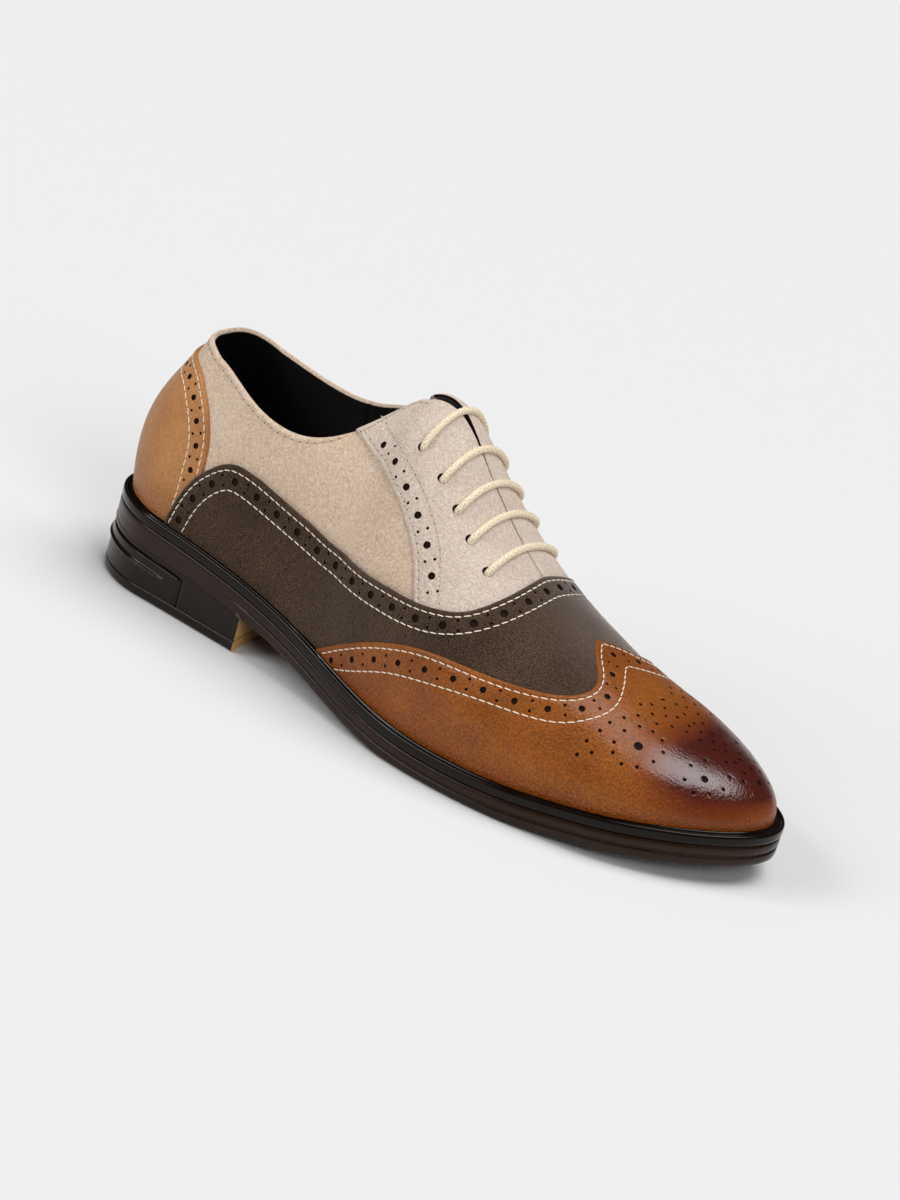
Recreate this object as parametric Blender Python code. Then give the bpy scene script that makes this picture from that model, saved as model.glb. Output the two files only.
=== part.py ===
"""Brogue shoe for the right foot, built from a last that is worked out section by section."""
from math import pi

import bmesh
import bpy
import numpy as np
from mathutils import Vector
from mathutils.geometry import delaunay_2d_cdt

for leftover in list(bpy.data.objects):
    bpy.data.objects.remove(leftover, do_unlink=True)

# Driving dimensions in millimetres. Stations run along the foot from the heel back.
MM = 0.001
HEEL_FAN = 34.0
HEEL_SWEEP = 33.0
TOE_FAN = 238.0
TOE_SWEEP = 44.0
BACK = HEEL_FAN - HEEL_SWEEP * pi / 2
TIP = TOE_FAN + TOE_SWEEP * pi / 2
THROAT = 122.0
SLIT_END = 186.0
LATERAL = -1.0
MEDIAL = 1.0
SPINE_Y = -3.0
SPINE_POINTS = 400
GAP = 0.3
TINY = 1e-9
SHARP = pi / 6
# Small steps in station and in t that the normals are taken over, and the highest t for them
NUDGE = 0.02
NUDGE_T = 0.002
NORMAL_TOP = 0.99


def table(columns, *rows):
    return dict(zip(columns.split(), np.array(rows, float).T))


# Plan reach to each side, sole margin, height of the welt and turn of the spine in degrees
FOOT = table(
    "station lateral medial margin rim heading",
    (BACK, 31.5, 31.5, 3.5, 33.0, 0),
    (10, 29.5, 29.5, 3.5, 32.6, 0),
    (34, 29.0, 29.0, 3.5, 31.2, 0),
    (75, 30.5, 27.5, 3.5, 27.3, 0),
    (105, 33.0, 25.5, 3.5, 22.2, 0),
    (135, 39.5, 30.5, 4.0, 16.4, 0),
    (165, 46.5, 39.0, 4.5, 12.5, 1),
    (190, 48.5, 45.0, 4.8, 11.6, 3.6),
    (212, 47.5, 46.0, 5.0, 12.2, 6.6),
    (TOE_FAN, 43.5, 44.0, 5.0, 14.7, 9),
    (265, 42.5, 43.0, 5.0, 17.6, 9),
    (290, 49.0, 49.0, 5.0, 19.8, 9),
    (TIP, 53.5, 53.5, 5.0, 20.5, 9),
)
# How each half section leaves the welt: outward lean in degrees and length of the handle
WALL = table(
    "station lateral medial rise",
    (BACK, 11, 11, 37.0),
    (34, 6, 6, 28.5),
    (75, 2, 0, 24.0),
    (105, -2, -4, 26.5),
    (135, 2, -3, 28.5),
    (165, 6, 0, 27.0),
    (190, 8, 5, 23.0),
    (215, 8, 8, 20.0),
    (TOE_FAN, 8, 8, 16.0),
    (275, 8, 8, 16.5),
    (TIP, 8, 8, 18.0),
)
# How each half section ends: height and reach of the topline or crest, lateral offset of the
# ridge from the spine, lean and handle
CREST = table(
    "station z_lateral z_medial r_lateral r_medial ridge lean draw",
    (BACK, 98.5, 98.5, 16.2, 16.2, 0, 24, 25.0),
    (12, 98.2, 98.4, 18.0, 18.0, 0, 18, 24.0),
    (34, 96.0, 94.5, 20.2, 21.0, 0, 12, 22.0),
    (58, 88.7, 89.5, 26.6, 25.4, 0, 8, 20.0),
    (80, 85.2, 91.0, 25.7, 26.0, 0, 12, 19.0),
    (94, 90.6, 97.0, 22.3, 23.5, 0.7, 28, 19.0),
    (108, 102.3, 104.5, 11.0, 14.0, 2.0, 58, 20.0),
    (THROAT, 114.5, 114.5, 0, 0, 3.5, 90, 28.0),
    (150, 99.8, 99.8, 0, 0, 4.6, 90, 33.0),
    (180, 74.6, 74.6, 0, 0, 4.6, 90, 37.0),
    (205, 60.7, 60.7, 0, 0, 4.0, 90, 36.0),
    (TOE_FAN, 47.0, 47.0, 0, 0, 0, 90, 33.5),
    (TIP, 47.0, 47.0, 0, 0, 0, 90, 29.6),
)


def spline(knots, values, at, flat=True):
    """Cubic spline through a table's column, level at both ends unless it runs free."""
    width = np.diff(knots)
    slope = np.diff(values) / width
    count = len(knots)
    matrix = np.eye(count)
    target = np.zeros(count)
    for i in range(1, count - 1):
        matrix[i, i - 1:i + 2] = 1 / width[i - 1], 2 / width[i - 1] + 2 / width[i], 1 / width[i]
        target[i] = 3 * (slope[i - 1] / width[i - 1] + slope[i] / width[i])
    if not flat:
        matrix[0, :2] = matrix[-1, :-3:-1] = 2, 1
        target[0], target[-1] = 3 * slope[0], 3 * slope[-1]
    tangent = np.linalg.solve(matrix, target)
    at = np.clip(at, knots[0], knots[-1])
    k = np.clip(np.searchsorted(knots, at) - 1, 0, count - 2)
    s = (at - knots[k]) / width[k]
    ends = (1 + 2 * s) * (1 - s) ** 2 * values[k] + s * s * (3 - 2 * s) * values[k + 1]
    return ends + s * (1 - s) * width[k] * ((1 - s) * tangent[k] - s * tangent[k + 1])


def foot(column, station):
    return spline(FOOT["station"], FOOT[column], station)


def by_side(side, lateral, medial):
    return np.where(side < 0, lateral, medial)


RUN = np.linspace(HEEL_FAN, TOE_FAN, SPINE_POINTS)
SWAY = np.concatenate([[0], np.cumsum(np.tan(np.radians(foot("heading", RUN[1:]))) * np.diff(RUN))])


def half_plane(side, station):
    """Point on the spine, and outward direction, of the half section at a station."""
    x = np.clip(station, HEEL_FAN, TOE_FAN)
    turn = np.radians(foot("heading", x))
    swing = np.clip((HEEL_FAN - station) / HEEL_SWEEP, 0, pi / 2)
    swing = swing - np.clip((station - TOE_FAN) / TOE_SWEEP, 0, pi / 2)
    angle = turn + side * (pi / 2 + swing)
    origin = np.stack([x, SPINE_Y + np.interp(x, RUN, SWAY)], -1)
    return origin, np.stack([np.cos(angle), np.sin(angle)], -1)


def crest(column, station, end):
    rows = CREST["station"] <= end
    return spline(CREST["station"][rows], CREST[column][rows], station, flat=end < TOE_FAN)


POLE_SLOPE = crest("z_lateral", TOE_FAN, TOE_FAN) - crest("z_lateral", TOE_FAN - 1, TOE_FAN)


def last(side, station, t):
    """Point of the last: t runs from the welt, 0, to the topline or the crest, 1."""
    side, station, t = np.broadcast_arrays(np.asarray(side, float), station, t)
    reach = by_side(side, foot("lateral", station), foot("medial", station))
    lean = [np.radians(spline(WALL["station"], WALL[key], station)) for key in ("lateral", "medial")]
    lean = by_side(side, *lean)
    rise = spline(WALL["station"], WALL["rise"], station)
    top_r = by_side(side, *[crest(key, station, THROAT) for key in ("r_lateral", "r_medial")])
    top_r = top_r - side * spline(CREST["station"], CREST["ridge"], station)
    top_z = by_side(side, *[crest(key, station, TOE_FAN) for key in ("z_lateral", "z_medial")])
    tilt = np.radians(crest("lean", station, THROAT))
    draw = spline(CREST["station"], CREST["draw"], station)
    fall = POLE_SLOPE * np.sin(np.clip((station - TOE_FAN) / TOE_SWEEP, 0, pi / 2))
    low_z = foot("rim", station)
    weights = (1 - t) ** 3, 3 * (1 - t) ** 2 * t, 3 * (1 - t) * t ** 2, t ** 3
    r = (reach, reach + rise * np.sin(lean), top_r + draw * np.sin(tilt), top_r)
    z = (low_z, low_z + rise * np.cos(lean), top_z + draw * (fall - np.cos(tilt)), top_z)
    origin, out = half_plane(side, station)
    plan = origin + out * sum(w * a for w, a in zip(weights, r))[..., None]
    return np.concatenate([plan, sum(w * a for w, a in zip(weights, z))[..., None]], -1)


def skin(side, station, t, lift):
    """Point of the last moved out along its normal."""
    side, station, t = np.broadcast_arrays(np.asarray(side, float), station, t)
    level = np.clip(t, 0, NORMAL_TOP)
    along = last(side, station + NUDGE, level) - last(side, station - NUDGE, level)
    up = last(side, station, level + NUDGE_T) - last(side, station, level - NUDGE_T)
    normal = np.cross(along, up) * -side[..., None]
    normal /= np.linalg.norm(normal, axis=-1, keepdims=True)
    return last(side, station, t) + normal * np.asarray(lift)[..., None]


# Lifts of the layers from the last, inside and outside of each
UPPER_SKIN = -3.0, -1.15
FACING_SKIN = -0.3, 0.35
COUNTER_SKIN = -0.5, 0.3
VAMP_SKIN = -0.5, 0.6
WING_SKIN = -0.5, 1.0
TONGUE_THICK = 2.0
TONGUE_START = 123.5
TONGUE_END = 193.0
TONGUE_EDGE = 0.6
TONGUE_ROWS = 11
TONGUE_HALF = 6
# Depth of the tongue's outer face under the laces and where it is sewn to the upper
TONGUE_DROP = table(
    "station lift",
    (TONGUE_START, -7.3),
    (178, -7.3),
    (189, -3.7),
    (TONGUE_END, -3.7),
)
# Lowest t of the leather, and half widths of the open throat and of the slit between the facings
FEATHER = 0.006
THROAT_GAP = 0.6
SLIT = table("station half_width", (108, 0), (THROAT, 3.0), (148, 0.9), (178, 0.7), (SLIT_END, 0))

# Edges of the overlays as points on the last, from the welt upward
VAMP_EDGE = table(
    "station t",
    (36.5, 0),
    (40.2, 0.17),
    (45.3, 0.33),
    (51.2, 0.455),
    (56.5, 0.547),
    (62.5, 0.605),
    (72, 0.624),
    (90.3, 0.535),
    (108.5, 0.38),
    (121, 0.335),
    (135, 0.34),
    (158, 0.434),
    (169, 0.503),
    (175.6, 0.572),
    (182, 0.711),
    (184.6, 0.862),
    (184.2, 1),
)
WING_EDGE = table(
    "station t",
    (122, 0),
    (129.5, 0.07),
    (139, 0.15),
    (150.2, 0.222),
    (162.5, 0.302),
    (177, 0.377),
    (190.5, 0.434),
    (203, 0.491),
    (214, 0.566),
    (219.8, 0.648),
    (222.5, 0.742),
    (220.5, 0.83),
    (216.6, 0.893),
    (210.5, 1),
)
COUNTER_EDGE = table(
    "station t",
    (47, 0.37),
    (45.3, 0.528),
    (42, 0.64),
    (35.6, 0.723),
    (26, 0.82),
    (16.7, 0.918),
    (4, 0.965),
    (-8, 1),
)
FACING_EDGE = table(
    "station t",
    (157.5, 0.432),
    (149.5, 0.465),
    (139, 0.509),
    (125.4, 0.547),
    (111.8, 0.704),
    (101, 1),
)

# Sole unit: thickness from the welt down, groove of its side and round of its lower edge
WELT_THICK = 3.9
WELT_WIDTH = 8.0
SOLE_THICK = 12.4
SOLE_GROOVE = 7.9
GROOVE = 0.6
EDGE_ROUND = 2.2
EDGE_BELLY = 0.3, 0.35
EDGE_SHY = 0.2
INSOLE_INSET = 4.0
INSOLE_TOP = 3.0
LIFT_THICK = 4.2
BREAST = 84.0
BREAST_SAG = 5.0
BREAST_POINTS = 5
BREAST_BLEND = 82.0, 96.0
HEEL_LINE = 14.6
HEEL_RIDGE = 19.2
HEEL_PANEL = 50.0, 56.0

# Lace: eyelets from the ankle down, and lifts of the bars and of the hidden runs
EYELETS = table(
    "station t",
    (133.2, 0.752),
    (145, 0.762),
    (154.7, 0.767),
    (163.8, 0.763),
    (174.3, 0.762),
)
EYELET_RADIUS = 2.2
LACE_RADIUS = 1.4
LACE_OVER = 2.1
LACE_UNDER = -5.4
LACE_ASIDE = 0.07
LACE_STEP = 0.5
LACE_BEND = 26.0
LACE_STRETCH = 8.0
LACE_ROUND = 2
EYELET_SIDES = 12
PUNCH = -6.0, 3.0
# Rise in t and lift along the start of a bar, from inside the eyelet to the facing
BAR_CLIMB = (0, -3.4), (0, -1.2), (0, 0.9), (0.02, 2.5), (0.06, 2.8), (0.11, 2.4)
BAR_LEVEL = 0.93
# Distances along the foot, and shares of the way aside, at which a hidden run leaves its eyelet
RUN_TURN = 1.6, 5.0
RUN_ASIDE = 0.15, 0.8

# Mesh steps in millimetres, and the girth that the overlay patterns are drawn to
GIRTH = 60.0
PANEL_STEP = 7.2
PANEL_INSET = 0.13
PANEL_CLEAR = 0.55
CUT_INSIDE = 1
CUT_NEAR = 1e-6
WALL_ROWS = 9
HEEL_STEPS = 7
WALL_TOE_STEPS = 11
SOLE_TOE_STEPS = 10
SOLE_STEPS = 15
SECTION_LEAST = 6.0
CORNER_CLEAR = 1.0
WELT_SHARES = 12
# Stations of the topline's corner on a facing
FACING_TOP = 115.0, 108.0
FACING_CLEAR = 2.0
THROAT_CLEAR = 4.0
WALL_BETWEEN = (
    46, 58, 70, 81, 91, 99, 107, 114, THROAT, 134, 146, 157, 167, 177, SLIT_END, 196, 207, 217, 228,
)


def station_steps(heel, straight, toe):
    """Stations of the sections: even steps round the heel and the toe, given ones between."""
    back, front = np.linspace(BACK, HEEL_FAN, heel + 1), np.linspace(TOE_FAN, TIP, toe + 1)
    return np.concatenate([back, straight, front])


WALL_STATIONS = station_steps(HEEL_STEPS, WALL_BETWEEN, WALL_TOE_STEPS)
STATIONS = station_steps(HEEL_STEPS, np.linspace(HEEL_FAN, TOE_FAN, SOLE_STEPS)[1:-1], SOLE_TOE_STEPS)
HEEL_STATIONS = np.append(STATIONS[STATIONS < BREAST - SECTION_LEAST], BREAST)


def edge(side, station, inset):
    """Plan point of the sole's outline, moved in by an inset."""
    origin, out = half_plane(np.full_like(station, side), station)
    reach = foot("lateral" if side < 0 else "medial", station) + foot("margin", station)
    return origin + out * (reach - inset)[:, None]


OUTLINE = np.concatenate([
    edge(LATERAL, STATIONS, 0),
    edge(MEDIAL, STATIONS, 0),
    edge(LATERAL, STATIONS[:1], GAP - GROOVE),
])
ORIGIN = np.append((OUTLINE.min(0) + OUTLINE.max(0)) / 2, 0)


def ease(value, start, end):
    s = np.clip((value - start) / (end - start), 0, 1)
    return s * s * (3 - 2 * s)


shoe = bpy.data.objects.new("shoe", None)
bpy.context.collection.objects.link(shoe)


# Colour, roughness and metallic of each finish
SUEDE = (0.62, 0.50, 0.39), 0.9, 0.0
NUBUCK = (0.065, 0.050, 0.042), 0.85, 0.0
TAN = (0.29, 0.105, 0.028), 0.38, 0.0
LINING = (0.010, 0.010, 0.010), 0.6, 0.0
RUBBER = (0.016, 0.011, 0.008), 0.45, 0.0
COTTON = (0.74, 0.62, 0.38), 0.8, 0.0


def paint(name, color, roughness, metallic):
    material = bpy.data.materials.new(name)
    material.use_nodes = True
    shader = material.node_tree.nodes["Principled BSDF"]
    shader.inputs["Base Color"].default_value = (*color, 1)
    shader.inputs["Roughness"].default_value = roughness
    shader.inputs["Metallic"].default_value = metallic
    return material


def add_object(name, data, finish):
    data.materials.append(paint(name, *finish))
    piece = bpy.data.objects.new(name, data)
    piece.parent = shoe
    bpy.context.collection.objects.link(piece)
    return piece


def add_solid(name, points, faces, finish):
    mesh = bpy.data.meshes.new(name)
    mesh.from_pydata(((np.asarray(points) - ORIGIN) * MM).tolist(), [], faces)
    work = bmesh.new()
    work.from_mesh(mesh)
    bmesh.ops.recalc_face_normals(work, faces=work.faces)
    work.to_mesh(mesh)
    work.free()
    mesh.shade_smooth()
    mesh.set_sharp_from_angle(angle=SHARP)
    return add_object(name, mesh, finish)


def add_sheet(name, spots, faces, lifts, finish):
    """Leather between two lifts over faces drawn on the last, with its cut edge closed."""
    side, station, t = spots
    count = len(side)
    points = np.concatenate([skin(side, station, t, lift) for lift in lifts])
    border = {}
    for face in faces:
        for a, b in zip(face, face[1:] + face[:1]):
            key = min(a, b), max(a, b)
            border[key] = None if key in border else (a, b)
    solid = [tuple(reversed(face)) for face in faces]
    solid += [tuple(i + count for i in face) for face in faces]
    solid += [(a, b, b + count, a + count) for a, b in filter(None, border.values())]
    return add_solid(name, points, solid, finish)


def grid_faces(lower, upper):
    quads = [(a, b, d, c) for a, b, c, d in zip(lower[:-1], lower[1:], upper[:-1], upper[1:])]
    return [tuple(dict.fromkeys(quad)) for quad in quads]


def ring_between(first, second):
    return grid_faces([*first, first[0]], [*second, second[0]])


def top_edge(station, least=0.0):
    """Level t of the topline and of the throat's edge, which leave the crest open."""
    half = np.interp(station, SLIT["station"], SLIT["half_width"], left=0, right=0)
    half = np.where(station >= THROAT, np.maximum(half, least), half)
    crest_speed = 3 * spline(CREST["station"], CREST["draw"], station)
    return 1 - half / crest_speed


def add_upper():
    """Both halves of the wall, joined at the heel back, the toe tip and the closed part of the crest."""
    level = np.linspace(0, 1, WALL_ROWS + 1)
    t = FEATHER + (top_edge(WALL_STATIONS)[:, None] - FEATHER) * level
    columns, rows = t.shape
    lateral = np.arange(columns * rows).reshape(columns, rows)
    lateral[WALL_STATIONS >= TOE_FAN, -1] = lateral[-1, -1]
    medial = lateral + columns * rows
    medial[[0, -1]] = lateral[[0, -1]]
    medial[WALL_STATIONS >= SLIT_END, -1] = lateral[WALL_STATIONS >= SLIT_END, -1]
    side = np.repeat((LATERAL, MEDIAL), columns * rows)
    station = np.repeat(WALL_STATIONS, rows)
    spots = side, np.concatenate([station, station]), np.concatenate([t.ravel(), t.ravel()])
    faces = []
    for half_index in (lateral, medial):
        for first, second in zip(half_index.tolist(), half_index[1:].tolist()):
            faces += grid_faces(first, second)
    used = np.unique(np.concatenate([lateral.ravel(), medial.ravel()]))
    renumber = dict(zip(used.tolist(), range(len(used))))
    faces = [tuple(renumber[i] for i in face) for face in faces]
    return add_sheet("upper", [s[used] for s in spots], faces, UPPER_SKIN, SUEDE)


def add_tongue():
    stations = np.linspace(TONGUE_START, TONGUE_END, TONGUE_ROWS)
    half = np.linspace(TONGUE_EDGE, 1, TONGUE_HALF)
    across = np.concatenate([half, half[-2::-1]])
    side = np.where(np.arange(len(across)) < TONGUE_HALF, LATERAL, MEDIAL)
    index = np.arange(len(stations) * len(across)).reshape(len(stations), -1).tolist()
    faces = [face for first, second in zip(index, index[1:]) for face in grid_faces(first, second)]
    count = len(stations)
    spots = np.tile(side, count), np.repeat(stations, len(across)), np.tile(across, count)
    outer = np.interp(spots[1], TONGUE_DROP["station"], TONGUE_DROP["lift"])
    return add_sheet("tongue", spots, faces, (outer - TONGUE_THICK, outer), LINING)


def ring(inset, height):
    """Outline of the whole foot: lateral side from the heel back to the toe, then medial side back."""
    plan = np.concatenate([edge(LATERAL, STATIONS, inset), edge(MEDIAL, STATIONS, inset)[-2:0:-1]])
    level = np.concatenate([height, height[-2:0:-1]])
    return np.column_stack([plan, level])


def strip_cap(start):
    """Faces that close a ring between its lateral and medial points."""
    count = len(STATIONS)
    lateral = [start + i for i in range(count)]
    medial = [start] + [start + 2 * count - 2 - i for i in range(1, count - 1)] + [start + count - 1]
    return grid_faces(lateral, medial)


def add_stack(name, rings, finish, closed=False):
    size = len(rings[0])
    index = [list(range(k * size, (k + 1) * size)) for k in range(len(rings))]
    faces = [face for first, second in zip(index, index[1:]) for face in ring_between(first, second)]
    if closed:
        faces += ring_between(index[-1], index[0])
    else:
        faces += strip_cap(0) + strip_cap(index[-1][0])
    return add_solid(name, np.concatenate(rings), faces, finish)


def add_outsole():
    rim = foot("rim", STATIONS)
    bottom = np.maximum(rim - SOLE_THICK, 0)
    curve = GAP + (EDGE_ROUND - GAP) * ease(STATIONS, *BREAST_BLEND)
    groove = rim - SOLE_GROOVE
    rings = [
        ring(curve, bottom),
        ring(curve * EDGE_BELLY[0], bottom + curve * EDGE_BELLY[1]),
        ring(EDGE_SHY, bottom + curve),
        ring(EDGE_SHY, groove - GROOVE),
        ring(EDGE_SHY + GROOVE, groove - GROOVE / 2),
        ring(EDGE_SHY + GROOVE, groove + GROOVE / 2),
        ring(EDGE_SHY, groove + GROOVE),
        ring(2 * EDGE_SHY, rim - WELT_THICK - GAP),
    ]
    return add_stack("outsole", rings, RUBBER)


def add_welt():
    rim = foot("rim", STATIONS)
    inner = foot("margin", STATIONS) + WELT_WIDTH
    bottom = rim - WELT_THICK
    rings = [
        ring(inner, bottom),
        ring(GROOVE, bottom),
        ring(0.0, bottom + GROOVE),
        ring(0.0, rim - GROOVE),
        ring(GROOVE, rim),
        ring(inner, rim),
    ]
    return add_stack("welt", rings, RUBBER, closed=True)


def add_insole():
    rim = foot("rim", STATIONS)
    margin = foot("margin", STATIONS)
    core = margin + WELT_WIDTH + GAP
    rings = [
        ring(core, rim - WELT_THICK),
        ring(core, rim + GAP),
        ring(margin + INSOLE_INSET, rim + GAP),
        ring(margin + INSOLE_INSET, rim + INSOLE_TOP),
    ]
    return add_stack("insole", rings, LINING)


def heel_ring(inset, height):
    """Outline of the heel: lateral corner, round the back, medial corner, hollow breast."""
    lateral = edge(LATERAL, HEEL_STATIONS, inset)
    medial = edge(MEDIAL, HEEL_STATIONS, inset)
    share = np.linspace(0, 1, BREAST_POINTS + 2)[1:-1, None]
    breast = medial[-1] * (1 - share) + lateral[-1] * share
    breast[:, :1] -= BREAST_SAG * 4 * share * (1 - share)
    plan = np.concatenate([lateral[::-1], medial[1:], breast])
    station = np.concatenate([HEEL_STATIONS[::-1], HEEL_STATIONS[1:], breast[:, 0]])
    return np.column_stack([plan, height(station)])


def add_heel_stack(name, rings, finish):
    count = len(HEEL_STATIONS)
    size = len(rings[0])
    index = [list(range(k * size, (k + 1) * size)) for k in range(len(rings))]
    faces = [face for first, second in zip(index, index[1:]) for face in ring_between(first, second)]
    for row in (index[0], index[-1]):
        lateral = row[count - 1::-1]
        medial = row[count - 1:2 * count - 1]
        faces += grid_faces(lateral[:-1], medial[:-1])
        faces.append((lateral[-2], lateral[-1], *reversed(row[2 * count - 1:]), medial[-1], medial[-2]))
    return add_solid(name, np.concatenate(rings), faces, finish)


def add_heel():
    rear = 1 - ease(HEEL_STATIONS, *HEEL_PANEL)

    def below_rim(depth):
        return lambda station: foot("rim", station) - depth

    def on_lift(station):
        return np.full_like(station, LIFT_THICK + GAP)

    rings = [
        heel_ring(np.full_like(rear, GAP), below_rim(SOLE_THICK + GAP)),
        heel_ring(np.full_like(rear, GAP), below_rim(HEEL_LINE - GROOVE)),
        heel_ring(GAP + GROOVE * rear, below_rim(HEEL_LINE)),
        heel_ring(GAP * (1 - rear), below_rim(HEEL_LINE + GROOVE)),
        heel_ring(GAP * (1 - rear), below_rim(HEEL_RIDGE - GROOVE)),
        heel_ring(GAP - GROOVE * rear, below_rim(HEEL_RIDGE)),
        heel_ring(GAP * (1 - rear), on_lift),
    ]
    return add_heel_stack("heel", rings, RUBBER)


def add_top_lift():
    level = np.zeros_like(HEEL_STATIONS)
    rings = [
        heel_ring(level + 2 * GROOVE, lambda station: 0 * station),
        heel_ring(level + GAP / 2, lambda station: 0 * station + 2 * GROOVE),
        heel_ring(level + GAP / 2, lambda station: 0 * station + LIFT_THICK - GAP),
        heel_ring(level + GAP * 2, lambda station: 0 * station + LIFT_THICK),
    ]
    return add_heel_stack("top_lift", rings, RUBBER)


def spread(side, station, t):
    """Place on the flat pattern of the forepart: the crest is its middle line."""
    rho = (1 - t) * GIRTH
    turn = np.clip((station - TOE_FAN) / TOE_SWEEP, 0, pi / 2)
    return np.stack([np.minimum(station, TOE_FAN) + rho * np.sin(turn), side * rho * np.cos(turn)], -1)


def gather(flat):
    """Side, station and t of a place on the forepart's pattern."""
    ahead = np.maximum(flat[:, 0] - TOE_FAN, 0)
    across = np.abs(flat[:, 1])
    station = np.minimum(flat[:, 0], TOE_FAN) + TOE_SWEEP * np.arctan2(ahead, across + TINY)
    return np.where(flat[:, 1] < 0, LATERAL, MEDIAL), station, 1 - np.hypot(ahead, across) / GIRTH


def spread_heel(side, station, t):
    return np.stack([side * (station - BACK), t * GIRTH], -1)


def gather_heel(flat):
    return np.where(flat[:, 0] < 0, LATERAL, MEDIAL), BACK + np.abs(flat[:, 0]), flat[:, 1] / GIRTH


def curve_through(points, step=PANEL_STEP):
    """Even points along a smooth curve through the points of an edge."""
    chord = np.concatenate([[0], np.cumsum(np.linalg.norm(np.diff(points, axis=0), axis=1))])
    count = max(2, int(round(chord[-1] / step)) + 1)
    at = np.linspace(0, chord[-1], count)
    return np.stack([spline(chord, column, at, flat=False) for column in points.T], -1)


def edge_curve(rows, side, place, pick=slice(None)):
    return curve_through(place(side, rows["station"][pick], rows["t"][pick]))


def inside(points, outline):
    x, y = points.T[:, :, None]
    (x0, y0), (x1, y1) = outline.T[:, None], np.roll(outline, -1, axis=0).T[:, None]
    rising = np.where(y1 == y0, TINY, y1 - y0)
    cross = ((y0 > y) != (y1 > y)) & (x < (x1 - x0) * (y - y0) / rising + x0)
    return cross.sum(1) % 2 == 1


def add_panel(name, outline, lifts, finish, collect=gather):
    """Overlay cut to an outline drawn on the flat pattern and laid on the last."""
    turn = np.roll(outline, -1, axis=0) - np.roll(outline, 1, axis=0)
    after = np.roll(outline, -1, axis=0)
    area = np.sum(outline[:, 0] * after[:, 1] - outline[:, 1] * after[:, 0])
    normal = np.stack([-turn[:, 1], turn[:, 0]], -1) / np.linalg.norm(turn, axis=1, keepdims=True)
    outline = outline + normal * PANEL_INSET * np.sign(area)
    low, high = outline.min(0), outline.max(0)
    columns = np.arange(low[0], high[0], PANEL_STEP)
    rows = np.arange(np.floor(low[1] / PANEL_STEP), high[1] / PANEL_STEP) * PANEL_STEP
    grid = np.stack(np.meshgrid(columns, rows), -1).reshape(-1, 2)
    grid = grid[inside(grid, outline)]
    away = np.linalg.norm(grid[:, None] - outline[None], axis=-1).min(1)
    flat = np.concatenate([outline, grid[away > PANEL_STEP * PANEL_CLEAR]])
    count = len(outline)
    loop = [(i, (i + 1) % count) for i in range(count)]
    verts, _, faces, *_ = delaunay_2d_cdt([Vector(p) for p in flat], loop, [], CUT_INSIDE, CUT_NEAR)
    spots = collect(np.array([tuple(v) for v in verts]))
    return add_sheet(name, spots, [tuple(face) for face in faces], lifts, finish)


def both_sides(curve):
    """An edge that reaches the crest, then its mirror image back to the welt."""
    return np.concatenate([curve, (curve * (1, -1))[-2::-1]])


def feather_line(side, start, end):
    """Lower edge of an overlay along the welt."""
    count = max(2, int(abs(end - start) / PANEL_STEP))
    station = np.linspace(start, end, count + 1)[1:-1]
    return spread(side, station, np.full(count - 1, FEATHER))


def add_vamp_panel():
    top = edge_curve(VAMP_EDGE, LATERAL, spread)
    wing = edge_curve(WING_EDGE, LATERAL, spread)
    rear, front = VAMP_EDGE["station"][0], WING_EDGE["station"][0]
    top[0], wing[0] = spread(LATERAL, rear, FEATHER), spread(LATERAL, front, FEATHER)
    outline = [
        both_sides(top),
        feather_line(MEDIAL, rear, front),
        both_sides(wing)[::-1],
        feather_line(LATERAL, front, rear),
    ]
    return add_panel("vamp_panel", np.concatenate(outline), VAMP_SKIN, NUBUCK)


def add_wing_cap():
    wing = edge_curve(WING_EDGE, LATERAL, spread)
    start = WING_EDGE["station"][0]
    wing[0] = spread(LATERAL, start, FEATHER)
    outline = [
        both_sides(wing),
        feather_line(MEDIAL, start, TIP),
        spread(LATERAL, np.array([TIP]), FEATHER),
        feather_line(LATERAL, TIP, start),
    ]
    return add_panel("wing_cap", np.concatenate(outline), WING_SKIN, TAN)


def add_counter():
    """Heel piece: its lower corners follow the vamp panel, its tail runs up the back seam."""
    corner = spread_heel(MEDIAL, COUNTER_EDGE["station"][0], COUNTER_EDGE["t"][0])
    vamp = edge_curve(VAMP_EDGE, MEDIAL, spread_heel)
    vamp[0] = spread_heel(MEDIAL, VAMP_EDGE["station"][0], FEATHER)
    low = vamp[vamp[:, 0] < corner[0] - CORNER_CLEAR]
    half = np.concatenate([low, edge_curve(COUNTER_EDGE, MEDIAL, spread_heel)])
    seam_top = [[0, GIRTH]]
    across = np.linspace(-1, 1, WELT_SHARES + 1)[1:-1] * low[0, 0]
    welt = np.stack([across, np.full_like(across, FEATHER * GIRTH)], -1)
    outline = np.concatenate([half, seam_top, (half * (-1, 1))[::-1], welt])
    return add_panel("heel_counter", outline, COUNTER_SKIN, TAN, gather_heel)


def add_facing(name, side):
    """Eyestay between the throat, the topline, its own rear edge and the vamp panel."""
    vamp = edge_curve(VAMP_EDGE, side, spread)
    vamp = vamp[vamp[:, 0] > FACING_EDGE["station"][0] + FACING_CLEAR][:-1]
    meeting = VAMP_EDGE["station"][-1]
    throat = WALL_STATIONS[(WALL_STATIONS >= THROAT) & (WALL_STATIONS < meeting - THROAT_CLEAR)]
    run = np.concatenate([[meeting], throat[::-1], FACING_TOP])
    rear = edge_curve(FACING_EDGE, side, spread)[::-1]
    outline = np.concatenate([vamp, spread(side, run, top_edge(run, THROAT_GAP)), rear])
    return add_panel(name, outline, FACING_SKIN, SUEDE)


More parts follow.
